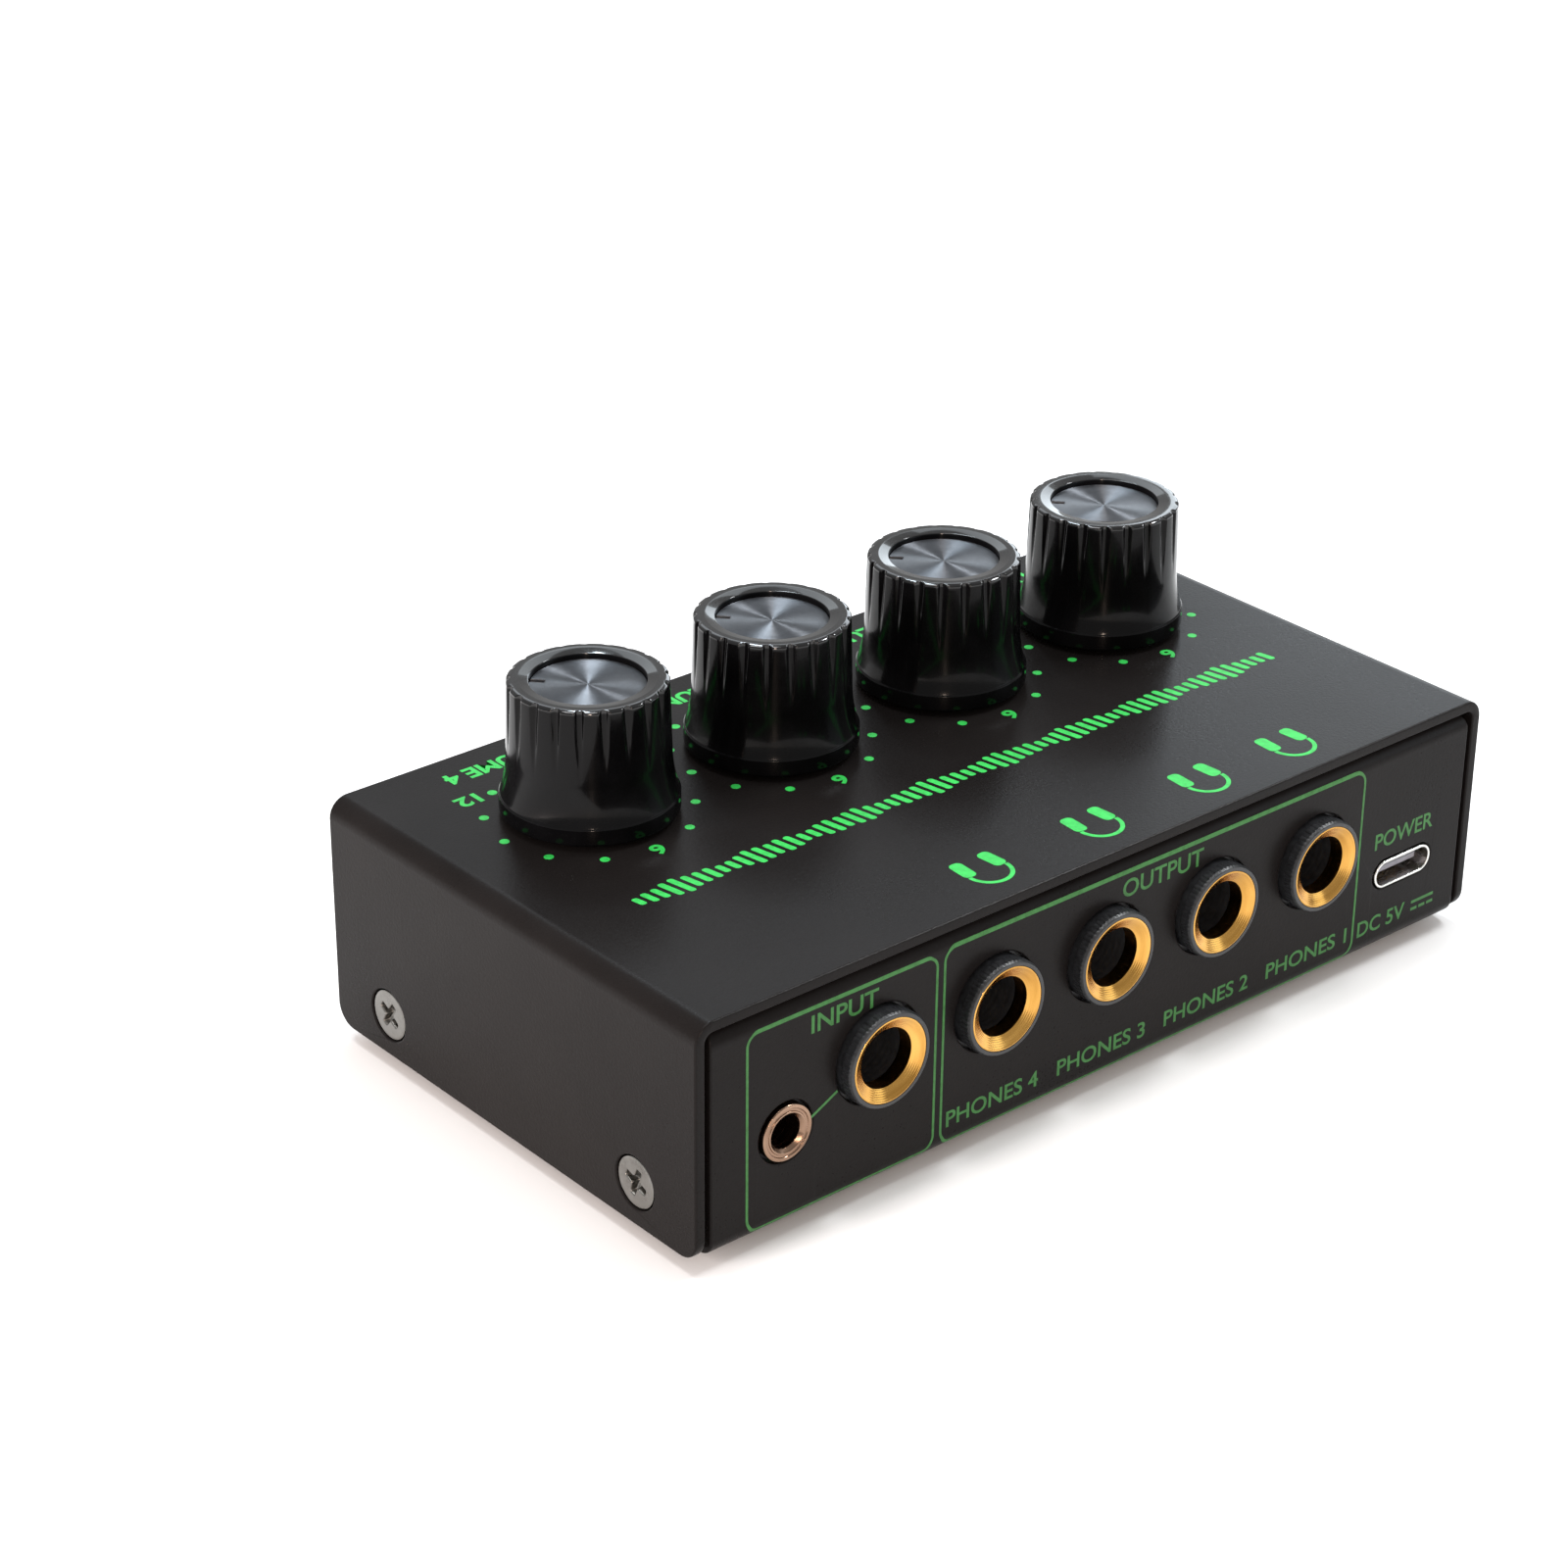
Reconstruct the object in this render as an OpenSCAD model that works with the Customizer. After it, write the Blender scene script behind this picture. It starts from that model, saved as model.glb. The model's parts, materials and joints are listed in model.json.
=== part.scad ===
// Desktop headphone amplifier: a folded steel case in two pieces, one stereo input on two
// sizes of jack, four headphone outputs and four volume controls. Millimetres, +Z up.
// The jack panel faces -Y and the origin is on the table, under the middle of the whole object.

/* [Case] */
// Width of the case, end to end
case_w = 110; // [108:1:140]
// Depth of the case, jack panel to back panel
case_d = 59.5; // [58:0.5:80]
// Height of the case, without its feet
case_h = 26.2; // [25.6:0.1:40]
// Thickness of the sheet metal
sheet_t = 1.2; // [0.8:0.1:1.6]
// Outside radius of the cover's two long bends
cover_bend_r = 2.2; // [1.8:0.1:4]
// Outside radius of the tray's bends
tray_bend_r = 1.8; // [1.7:0.1:2.6]
// Radius of the cover's four lower corners
flange_corner_r = 2.5; // [0.5:0.1:4]
// Gap between each end of a tray panel and the cover
end_gap = 0.6; // [0.2:0.1:1]
// Gap between the tray's top lips and the cover
lip_gap = 0.3; // [0.1:0.1:0.6]
// Width of the lips folded in along the top of both panels
lip_w = 5; // [3:0.5:6]

/* [Feet] */
// Radius of a rubber foot
foot_r = 4; // [3:0.5:6]
// Height of a rubber foot
foot_h = 1.5; // [1:0.1:4]
// Distance of a foot's centre from the case's outline
foot_inset = 9; // [7:0.5:14]

/* [Case screws] */
// Radius of the screw's thread
screw_r = 1.5; // [1.2:0.05:1.75]
// Radius of the countersunk head
screw_head_r = 2.75; // [2.4:0.05:3.2]
// Length of the screw over its head
screw_len = 5.6; // [4:0.2:6.4]
// How far the head sits below the cover's face
screw_sink = 0.1; // [0:0.05:0.15]
// Height of the screws above the case's underside
screw_z = 4.8; // [4.2:0.1:8]
// Distance of each screw from the nearest long edge of the end
screw_inset = 9.3; // [8.5:0.1:14]
// Width of the tray's tab behind each screw
tab_w = 12; // [9:0.5:14]
// Height of the tab above the screw's axis
tab_over = 4.2; // [3.5:0.1:6]

/* [Boards] */
// Thickness of both circuit boards
board_t = 1.6; // [1:0.1:2]
// Gap from the case's ends to the main board
board_end_gap = 7; // [6.8:0.1:9]
// Gap from the back panel to the main board
board_back_gap = 1.6; // [0.5:0.1:3]
// Gap from the jack panel to the main board
board_front_gap = 0.3; // [0.2:0.1:1]
// Height of the standoffs under the main board
standoff_h = 4.8; // [4:0.1:8]
// Radius of a standoff
standoff_r = 2.75; // [2.4:0.05:3.2]
// Radius of the screws that hold the main board
board_screw_r = 1.25; // [1:0.05:1.5]
// Distance of the front pair of standoffs from the case's ends
standoff_front_in = 11.5; // [11:0.5:12.5]
// Distance of the rear pair of standoffs from the case's ends
standoff_back_in = 16; // [15.5:0.5:17]
// Distance of the front pair of standoffs from the jack panel
standoff_front = 21; // [19:0.5:26]
// Distance of the rear pair of standoffs from the back panel
standoff_back = 6.6; // [5:0.2:9]

/* [Large jacks] */
// Distance of the input jack's axis from the left end
input_jack_in = 22.8; // [22:0.1:26]
// Distance from jack to jack
jack_pitch = 15.4; // [15:0.1:15.8]
// Height of the jack's axis above its board
jack_axis_h = 7.2; // [6.8:0.1:9]
// Radius of the hole for the plug
plug_bore_r = 3.25; // [3.2:0.01:3.4]
// Radius of the metal ring in the jack's mouth
jack_ring_r = 4.6; // [4.5:0.05:5]
// Length of the metal ring
jack_ring_len = 8.6; // [6:0.1:10]
// Depth of the cone in the ring's mouth
jack_cone = 0.7; // [0.5:0.1:1.5]
// Radius of the housing's round nose
jack_nose_r = 5.25; // [5.2:0.05:6]
// How far the nose stands out of the panel
jack_proud = 1.8; // [1:0.1:3]
// Width of the housing
jack_body_w = 14.6; // [13:0.1:14.8]
// Depth of the housing behind the panel
jack_body_d = 26; // [25.6:0.1:27]
// Height of the housing
jack_body_h = 13.8; // [13:0.1:15]
// Radius of the channel behind the ring
jack_channel_r = 3.5; // [3.45:0.05:3.8]

/* [Small jack] */
// Distance of the small jack's axis from the left end
mini_jack_in = 11.1; // [10.5:0.1:11.2]
// Height of the axis above its board
mini_axis_h = 3; // [3:0.1:4]
// Radius of the hole for the plug
mini_bore_r = 1.8; // [1.78:0.01:1.9]
// Radius of the metal ring in the mouth
mini_ring_r = 3.05; // [2.8:0.05:3.3]
// Length of the metal ring
mini_ring_len = 5.2; // [3:0.1:6]
// Depth of the cone in the ring's mouth
mini_cone = 0.4; // [0.2:0.1:0.6]
// How far the ring stands out of the panel
mini_proud = 0.3; // [0.2:0.1:1.4]
// Width of the housing
mini_body_w = 6.8; // [6.7:0.1:7]
// Depth of the housing
mini_body_d = 12; // [11:0.1:14]
// Height of the housing
mini_body_h = 6.4; // [6.3:0.1:8]

/* [Power socket] */
// Distance of the socket's middle from the right end
usb_in = 11; // [10.5:0.1:12]
// Width of the socket's shell
usb_w = 8.94; // [8.8:0.01:9.1]
// Height of the socket's shell
usb_h = 3.26; // [3.1:0.01:3.4]
// Thickness of the shell
usb_wall = 0.3; // [0.2:0.05:0.35]
// Depth of the shell
usb_d = 7.4; // [6.5:0.1:9]
// How far the shell stands out of the panel
usb_proud = 0.15; // [0:0.05:0.5]

/* [Volume controls] */
// Distance from knob to knob
knob_pitch = 24.15; // [22:0.05:25]
// Offset of the row's middle from the case's middle
knob_row_x = 0.5; // [-1:0.1:1]
// Distance of the knobs' axes from the back panel's face
knob_back = 18.9; // [18:0.1:20]
// Height of a knob
knob_h = 14.4; // [13.6:0.1:18]
// Gap under a knob
knob_gap = 0.6; // [0.4:0.1:1.2]
// Radius of the knob's skirt
skirt_r = 9.3; // [9:0.1:10.5]
// Height of the plain band round the skirt
band_h = 1.8; // [1:0.1:2.5]
// Radius of the grip where the flare meets it
grip_low_r = 8.45; // [8.2:0.05:8.8]
// Radius of the grip under the rounded rim
grip_top_r = 8.25; // [8:0.05:8.6]
// Number of flutes round the grip
flute_count = 21; // [12:1:28]
// Depth of a flute at the top
flute_depth = 0.45; // [0.2:0.05:0.7]
// Radius of a flute
flute_r = 0.5; // [0.5:0.05:1.3]
// Radius of the spun metal disc on top
cap_r = 5.95; // [5:0.05:6.4]
// Thickness of the disc
cap_t = 0.4; // [0.3:0.05:0.8]
// Depth of the disc's face below the rim
cap_sink = 0.8; // [0.5:0.05:1]
// Dial angle at which the knobs rest, clockwise from the middle of their travel
dial_rest = 138; // [-150:1:150]
// Turn from the middle of travel to each stop
half_travel = 150; // [120:1:150]

/* [Potentiometers] */
// Radius of the shaft
shaft_r = 3; // [2.9:0.05:3.05]
// Distance from the shaft's axis to its flat
shaft_flat = 1.5; // [1:0.1:2]
// How far the shaft reaches above the knob's underside
shaft_reach = 11; // [10.5:0.1:11.6]
// Radius of the threaded bush
bush_r = 3.5; // [3.5:0.05:3.8]
// How far the bush stands above the nut
bush_over = 0.6; // [0:0.1:1]
// Width of the potentiometer's body
pot_w = 9.8; // [9.6:0.1:11]
// Depth of the potentiometer's body
pot_d = 12; // [10:0.1:13]
// Height of the metal can
pot_can_h = 6.4; // [5.6:0.1:7]
// Height of the plastic base under the can
pot_base_h = 4; // [3:0.1:4.4]
// Width of the nut across its flats
nut_w = 10; // [9:0.1:11]
// Thickness of the nut
nut_t = 2; // [1.5:0.1:2.4]
// Radius of the washer
washer_r = 5.6; // [5:0.1:6.4]
// Thickness of the washer
washer_t = 0.5; // [0.3:0.1:0.8]

/* [Fits] */
// Radial clearance of a shaft that turns
run_fit = 0.05; // [0.02:0.01:0.08]
// Clearance between pieces that are pressed or screwed together
seat_fit = 0.03; // [0.01:0.01:0.05]
// Clearance round a piece that passes through a sheet or a board
pass_fit = 0.15; // [0.1:0.01:0.3]

/* [Hidden] */
$fn = 64;
cut = 0.5;               // how far a cutting solid runs past the face it opens
weld = 0.001;            // how far two solids of one piece run into each other

// Levels and faces of the case
case_y = jack_proud / 2; // puts the origin under the middle of case and jack noses together
front_y = case_y - case_d / 2;
back_y = case_y + case_d / 2;
panel_in_y = front_y + sheet_t;
half_w = case_w / 2;
cover_top_z = foot_h + case_h;
cover_in_z = cover_top_z - sheet_t;
cover_in_x = half_w - sheet_t;
tray_top_z = cover_in_z - lip_gap;
floor_z = foot_h + sheet_t;
panel_half_w = cover_in_x - end_gap;
tab_face_x = cover_in_x - seat_fit;
screw_axis_z = foot_h + screw_z;
screw_ys = [front_y + screw_inset, back_y - screw_inset];

// Levels and outlines of the boards
board_z = floor_z + standoff_h;
board_top_z = board_z + board_t;
board_half_w = half_w - board_end_gap;
board_front_y = panel_in_y + board_front_gap;
board_back_y = back_y - sheet_t - board_back_gap;
standoff_spots = [for (side = [-1, 1], spot = [
    [half_w - standoff_front_in, front_y + standoff_front],
    [half_w - standoff_back_in, back_y - standoff_back]
]) [side * spot[0], spot[1]]];
board_screw_head_r = board_screw_r * 1.8;
board_screw_head_h = 1.7;
board_screw_len = 4;
spigot_r = 2;

// Jacks: number 0 is the input, 4 to 1 are the headphone outputs from left to right
jack_slots = 5;
function jack_x(number) = input_jack_in - half_w + jack_pitch * (number == 0 ? 0 : jack_slots - number);
jack_numbers = [for (n = [0 : jack_slots - 1]) n];
jack_z = board_top_z + jack_axis_h;
mini_x = mini_jack_in - half_w;
mini_z = board_top_z + mini_axis_h;
ring_edge = 0.1;         // chamfer round the outside of a ring's face
jack_lip = 0.25;         // flat face left outside the cone of a large ring
mini_lip = 0.35;         // width of the cone in the small ring's mouth
mini_tail_r = mini_ring_r - 0.6;
mini_channel_r = mini_bore_r + 0.2;
usb_x = half_w - usb_in;
usb_z = board_top_z + usb_h / 2;

// Contact springs: side of the bore, distance behind the panel, distance of the nib from the axis
spring_t = 0.3;
spring_w = 2.2;
spring_nib = 0.6;        // how far the nib stands in from the rest of the spring
spring_room = 0.3;
pin_w = 1;
pin_below = 1.2;         // how far solder pins stand out below a board
pin_hole_r = 0.75;
jack_springs = [
    [1, 4.6, jack_ring_r + seat_fit],
    [-1, 13, jack_channel_r + run_fit],
    [1, 23.4, jack_channel_r + run_fit]
];
mini_springs = [
    [1, 1.9, mini_ring_r + seat_fit],
    [-1, 7, mini_channel_r + run_fit],
    [1, 9.8, mini_channel_r + run_fit]
];

// Volume controls: number 4 is at the left
knob_count = 4;
knob_numbers = [for (n = [1 : knob_count]) n];
knob_y = back_y - knob_back;
function knob_x(number) = knob_row_x + knob_pitch * ((knob_count + 1) / 2 - number);
knob_z = cover_top_z + knob_gap;
ledge = 0.15;            // step between the plain band and the flare
flare_h = 4.6;
flare_steps = 7;
rim_round_w = 0.6;       // width and height of the rounding round the rim
rim_round_h = 0.3;
rim_slope_w = 1.1;       // width and fall of the slope from the rim to the disc's well
rim_slope_h = 0.2;
rim_top_fall = 0.02;     // fall of the rim's top between its rounding and the slope
roof_t = 1.2;            // plastic left under the disc
cap_floor_z = knob_h - cap_sink - cap_t;
knob_roof_z = cap_floor_z - roof_t;
nut_room_h = 4.4;        // height of the hollow that covers the nut
nut_room_r = 7.3;
core_room_r = 6.6;
hub_r = shaft_r + 1.6;
notch_len = 1.5;
notch_w = 0.6;

// Potentiometers, measured down from the cover's underside
pot_bottom_z = cover_in_z - pot_can_h - pot_base_h;
bush_top_z = cover_top_z + washer_t + nut_t + bush_over;
can_wall = 0.5;
cavity_r = pot_w / 2 - can_wall;
cavity_h = 3.6;
rotor_r = shaft_r + 0.4;
rotor_h = 2.6;
stop_half = 14;          // half of the angle that the fixed stop fills
stop_play = 4;           // angle left between stop and lug at each end of travel
lug_half = 180 - half_travel - stop_half - stop_play;
terminal_pitch = 2.5;
terminal_rows = [2, 4.5];
terminal_t = 0.4;
terminal_w = 0.8;
terminal_hole_r = 0.6;

// Upper board and the header between the boards
pot_board_half_d = 8;
pot_board_end = 9;       // board beyond the outer shafts
pot_board_z = pot_bottom_z - board_t;
header_pins_n = 6;
header_pitch = 2.54;
header_y = knob_y - 5.5;
header_pin_w = 0.64;
header_hole_r = 0.55;
header_over = 0.9;

// ---- shared shapes ----

// Flat rectangle with all four corners round, its lower left corner at the origin
module round_rect(w, h, r) {
    translate([r, 0]) square([w - 2 * r, h]);
    translate([0, r]) square([w, h - 2 * r]);
    for (x = [r, w - r], y = [r, h - r]) translate([x, y]) circle(r);
}

// Slot with half-round ends, centred on the origin
module slot_shape(w, h) {
    square([w - h, h], center = true);
    for (side = [-1, 1]) translate([side * (w - h) / 2, 0]) circle(h / 2);
}

// Stands a flat shape up and runs it along X from x0; its X becomes Y and its Y becomes Z
module run_along_x(x0, len) {
    translate([x0, 0, 0]) rotate([90, 0, 90]) linear_extrude(len) children();
}

// Stands a flat shape up and runs it along Y from y0; its Y becomes Z
module run_along_y(y0, len) {
    translate([0, y0 + len, 0]) rotate([90, 0, 0]) linear_extrude(len) children();
}

// Cylinder along Y that starts at y0
module rod_y(x, y0, z, r, len) {
    translate([x, y0, z]) rotate([-90, 0, 0]) cylinder(r = r, h = len);
}

// Mirrors its children to the other side of X = 0 when side is negative
module flip(side) {
    if (side < 0) mirror([1, 0, 0]) children();
    else children();
}

// Turns its children about the axis of one volume control, to the rest position of the dial
module on_knob_axis(number) {
    translate([knob_x(number), knob_y, 0]) rotate([0, 0, -dial_rest]) children();
}

// ---- case ----

// Room for a countersunk head that sits just below the cover's face, pointing inwards
module head_room(side, y, fit) {
    translate([side * (half_w - screw_sink), y, screw_axis_z]) rotate([0, -90 * side, 0]) {
        cylinder(r1 = screw_head_r + fit, r2 = screw_r, h = screw_head_r + fit - screw_r);
        translate([0, 0, -screw_sink - cut]) cylinder(r = screw_head_r + fit, h = screw_sink + cut + weld);
    }
}

module cover_profile() {
    difference() {
        translate([-half_w, foot_h - cover_bend_r]) round_rect(case_w, case_h + cover_bend_r, cover_bend_r);
        translate([-cover_in_x, foot_h - 2 * cover_bend_r])
            round_rect(2 * cover_in_x, cover_in_z - foot_h + 2 * cover_bend_r, cover_bend_r - sheet_t);
        translate([-half_w - cut, foot_h - 3 * cover_bend_r]) square([case_w + 2 * cut, 3 * cover_bend_r]);
    }
}

module top_cover() {
    color([0.075, 0.078, 0.082])
    difference() {
        intersection() {
            run_along_y(front_y, case_d) cover_profile();
            run_along_x(-half_w - cut, case_w + 2 * cut) {
                translate([front_y, foot_h]) round_rect(case_d, case_h, flange_corner_r);
                translate([front_y, foot_h + flange_corner_r]) square([case_d, case_h]);
            }
        }
        for (number = knob_numbers)
            translate([knob_x(number), knob_y, cover_in_z - cut])
                cylinder(r = bush_r + pass_fit, h = sheet_t + 2 * cut);
        for (side = [-1, 1], y = screw_ys) {
            head_room(side, y, pass_fit);
            translate([side * (cover_in_x - cut), y, screw_axis_z]) rotate([0, 90 * side, 0])
                cylinder(r = screw_r + pass_fit, h = sheet_t);
        }
    }
}

module tray_profile() {
    inner_r = tray_bend_r - sheet_t;
    difference() {
        translate([front_y, foot_h]) round_rect(case_d, tray_top_z - foot_h, tray_bend_r);
        translate([panel_in_y, floor_z])
            round_rect(case_d - 2 * sheet_t, tray_top_z - foot_h - 2 * sheet_t, inner_r);
        translate([front_y + lip_w, tray_top_z - sheet_t - inner_r])
            square([case_d - 2 * lip_w, sheet_t + inner_r + cut]);
    }
}

// Tab folded up from the end of the floor, with the tapped hole for a case screw
module end_tab(side, y) {
    tab_top_z = screw_axis_z + tab_over;
    inner_r = tray_bend_r - sheet_t;
    start_x = panel_half_w - tray_bend_r;
    flip(side) difference() {
        run_along_y(y - tab_w / 2, tab_w) difference() {
            union() {
                translate([start_x, foot_h]) square([tab_face_x - tray_bend_r - start_x, sheet_t]);
                translate([tab_face_x - tray_bend_r, foot_h + tray_bend_r]) circle(tray_bend_r);
                translate([tab_face_x - sheet_t, foot_h + tray_bend_r])
                    square([sheet_t, tab_top_z - foot_h - tray_bend_r]);
            }
            translate([tab_face_x - tray_bend_r, foot_h + tray_bend_r]) circle(inner_r);
            translate([tab_face_x - 2 * tray_bend_r, floor_z])
                square([tray_bend_r, tray_bend_r]);
            translate([tab_face_x - 2 * tray_bend_r, foot_h + tray_bend_r])
                square([2 * tray_bend_r - sheet_t, tray_bend_r]);
        }
        translate([tab_face_x - sheet_t - cut, y, screw_axis_z]) rotate([0, 90, 0])
            cylinder(r = screw_r, h = sheet_t + 2 * cut);
        head_room(1, y, seat_fit);
    }
}

module chassis_tray() {
    color([0.06, 0.062, 0.065])
    difference() {
        union() {
            run_along_x(-panel_half_w, 2 * panel_half_w) tray_profile();
            for (side = [-1, 1], y = screw_ys) end_tab(side, y);
        }
        for (number = jack_numbers)
            rod_y(jack_x(number), front_y - cut, jack_z, jack_nose_r + pass_fit, sheet_t + 2 * cut);
        rod_y(mini_x, front_y - cut, mini_z, mini_ring_r + pass_fit, sheet_t + 2 * cut);
        run_along_y(front_y - cut, sheet_t + 2 * cut)
            translate([usb_x, usb_z]) slot_shape(usb_w + 2 * pass_fit, usb_h + 2 * pass_fit);
        for (spot = standoff_spots)
            translate([spot[0], spot[1], foot_h - cut])
                cylinder(r = spigot_r + seat_fit, h = sheet_t + 2 * cut);
    }
}

// Cross recess of a screw, opening towards +Z at the origin
module cross_recess(size, depth) {
    for (turn = [0, 90]) rotate([0, 0, turn])
        translate([-size / 2, -size / 8, -depth]) cube([size, size / 4, depth + cut]);
    translate([0, 0, -depth]) cylinder(r1 = size / 8, r2 = size / 3.6, h = depth + weld);
}

module case_screws() {
    reach = screw_head_r - screw_r;
    shank_r = screw_r - seat_fit;
    color([0.62, 0.62, 0.6])
    for (side = [-1, 1], y = screw_ys)
        translate([side * (half_w - screw_sink), y, screw_axis_z]) rotate([0, 90 * side, 0])
            difference() {
                union() {
                    translate([0, 0, -reach])
                        cylinder(r1 = shank_r, r2 = screw_head_r - seat_fit, h = reach);
                    translate([0, 0, -screw_len]) cylinder(r = shank_r, h = screw_len - reach + weld);
                }
                cross_recess(3, 1);
            }
}

module rubber_feet() {
    color([0.1, 0.1, 0.1])
    for (x = [foot_inset - half_w, half_w - foot_inset], y = [front_y + foot_inset, back_y - foot_inset])
        translate([x, y, 0]) {
            cylinder(r1 = foot_r - 0.4, r2 = foot_r, h = 0.4);
            translate([0, 0, 0.4]) cylinder(r = foot_r, h = foot_h - 0.4);
        }
}

// ---- volume controls ----

function knob_outline() = concat(
    [[0, 0], [skirt_r, 0], [skirt_r, band_h], [skirt_r - ledge, band_h + ledge]],
    [for (i = [1 : flare_steps])
        let (t = i / flare_steps)
        [grip_low_r + (skirt_r - ledge - grip_low_r) * pow(1 - t, 2), band_h + ledge + flare_h * t]],
    [for (a = [0 : 15 : 90])
        [grip_top_r - rim_round_w * (1 - cos(a)), knob_h - rim_round_h * (1 - sin(a))]],
    [[cap_r + rim_slope_w, knob_h - rim_top_fall], [cap_r + seat_fit, knob_h - rim_slope_h],
     [cap_r + seat_fit, cap_floor_z], [0, cap_floor_z]]
);

// Leaning cutters that are deepest at the rim and run out on the flare
module knob_flutes() {
    run_out_z = band_h + ledge + flare_h;
    top_x = grip_top_r - flute_depth + flute_r;
    low_x = grip_low_r + flute_r;
    lean = atan((low_x - top_x) / (knob_h - run_out_z));
    len = (knob_h - run_out_z) / cos(lean) + cut;
    for (i = [0 : flute_count - 1]) rotate([0, 0, (i + 0.5) * 360 / flute_count])
        translate([0, -low_x, run_out_z]) rotate([-lean, 0, 0]) {
            cylinder(r = flute_r, h = len, $fn = 32);
            sphere(r = flute_r, $fn = 32);
        }
}

module d_shape(r, flat) {
    intersection() {
        circle(r);
        translate([-r, -flat]) square([2 * r, r + flat]);
    }
}

module knob(number) {
    color([0.03, 0.03, 0.035])
    on_knob_axis(number) translate([0, 0, knob_z]) difference() {
        rotate_extrude() polygon(knob_outline());
        knob_flutes();
        translate([0, 0, -cut]) cylinder(r = nut_room_r, h = nut_room_h + cut);
        difference() {
            cylinder(r = core_room_r, h = knob_roof_z);
            translate([0, 0, nut_room_h]) cylinder(r = hub_r, h = knob_h);
        }
        translate([0, 0, nut_room_h - cut]) linear_extrude(shaft_reach - nut_room_h + cut)
            d_shape(shaft_r + seat_fit, shaft_flat + seat_fit);
    }
}

module knob_cap(number) {
    color([0.32, 0.33, 0.35])
    on_knob_axis(number) translate([0, 0, knob_z + cap_floor_z]) difference() {
        cylinder(r = cap_r, h = cap_t);
        translate([-notch_w / 2, -cap_r - cut, -cut]) cube([notch_w, notch_len + cut, cap_t + 2 * cut]);
    }
}

module sector(r, half_angle) {
    reach = 2 * r;
    intersection() {
        circle(r);
        polygon([[0, 0], [-reach * sin(half_angle), -reach * cos(half_angle)],
                 [reach * sin(half_angle), -reach * cos(half_angle)]]);
    }
}

module pot_shaft(number) {
    flat_from_z = knob_z + nut_room_h - 0.4;
    shaft_top_z = knob_z + shaft_reach;
    rotor_z = cover_in_z - pot_can_h + 0.3;
    color([0.7, 0.7, 0.72])
    on_knob_axis(number) {
        translate([0, 0, rotor_z]) cylinder(r = shaft_r, h = flat_from_z - rotor_z);
        translate([0, 0, flat_from_z]) linear_extrude(shaft_top_z - flat_from_z) d_shape(shaft_r, shaft_flat);
        translate([0, 0, rotor_z]) cylinder(r = rotor_r, h = rotor_h);
        translate([0, 0, rotor_z]) linear_extrude(rotor_h) sector(cavity_r - 0.2, lug_half);
    }
}

module pot_can(number) {
    can_z = cover_in_z - pot_can_h;
    color([0.66, 0.66, 0.64])
    translate([knob_x(number), knob_y, 0]) difference() {
        union() {
            translate([-pot_w / 2, -pot_d / 2, can_z]) cube([pot_w, pot_d, pot_can_h]);
            translate([0, 0, cover_in_z]) cylinder(r = bush_r, h = bush_top_z - cover_in_z);
        }
        translate([0, 0, can_z - cut]) cylinder(r = shaft_r + run_fit, h = bush_top_z - can_z + 2 * cut);
        translate([0, 0, can_z - cut]) linear_extrude(cavity_h + cut) difference() {
            circle(cavity_r);
            mirror([0, 1, 0]) difference() {
                sector(cavity_r + 1, stop_half);
                circle(rotor_r + 0.2);
            }
        }
    }
}

module pot_base(number) {
    color([0.18, 0.2, 0.3])
    translate([knob_x(number) - pot_w / 2, knob_y - pot_d / 2, pot_bottom_z])
        cube([pot_w, pot_d, pot_base_h]);
}

module pot_nuts() {
    color([0.72, 0.72, 0.7])
    for (number = knob_numbers)
        translate([knob_x(number), knob_y, cover_top_z + washer_t]) difference() {
            cylinder(r = nut_w / 2 / cos(30), h = nut_t, $fn = 6);
            translate([0, 0, -cut]) cylinder(r = bush_r + seat_fit, h = nut_t + 2 * cut);
        }
}

module pot_washers() {
    color([0.75, 0.75, 0.72])
    for (number = knob_numbers)
        translate([knob_x(number), knob_y, cover_top_z]) difference() {
            cylinder(r = washer_r, h = washer_t);
            translate([0, 0, -cut]) cylinder(r = bush_r + pass_fit, h = washer_t + 2 * cut);
        }
}

// Where the terminals of one potentiometer go through their board
function terminal_spots(number) =
    [for (column = [-1, 0, 1], row = terminal_rows)
        [knob_x(number) + column * terminal_pitch, knob_y + row]];

module pot_terminals() {
    color([0.8, 0.78, 0.7])
    for (number = knob_numbers, spot = terminal_spots(number))
        translate([spot[0] - terminal_w / 2, spot[1] - terminal_t / 2, pot_board_z - pin_below])
            cube([terminal_w, terminal_t, board_t + pin_below]);
}

// ---- boards ----

function header_spots() =
    [for (i = [0 : header_pins_n - 1], row = [-0.5, 0.5])
        [knob_row_x + (i - (header_pins_n - 1) / 2) * header_pitch, header_y + row * header_pitch]];

module pot_board() {
    left_x = knob_x(knob_count) - pot_board_end;
    right_x = knob_x(1) + pot_board_end;
    color([0.1, 0.32, 0.16])
    translate([0, 0, pot_board_z]) difference() {
        translate([left_x, knob_y - pot_board_half_d, 0])
            cube([right_x - left_x, 2 * pot_board_half_d, board_t]);
        for (number = knob_numbers, spot = terminal_spots(number))
            translate([spot[0], spot[1], -cut]) cylinder(r = terminal_hole_r, h = board_t + 2 * cut);
        for (spot = header_spots())
            translate([spot[0], spot[1], -cut]) cylinder(r = header_hole_r, h = board_t + 2 * cut);
    }
}

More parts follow.
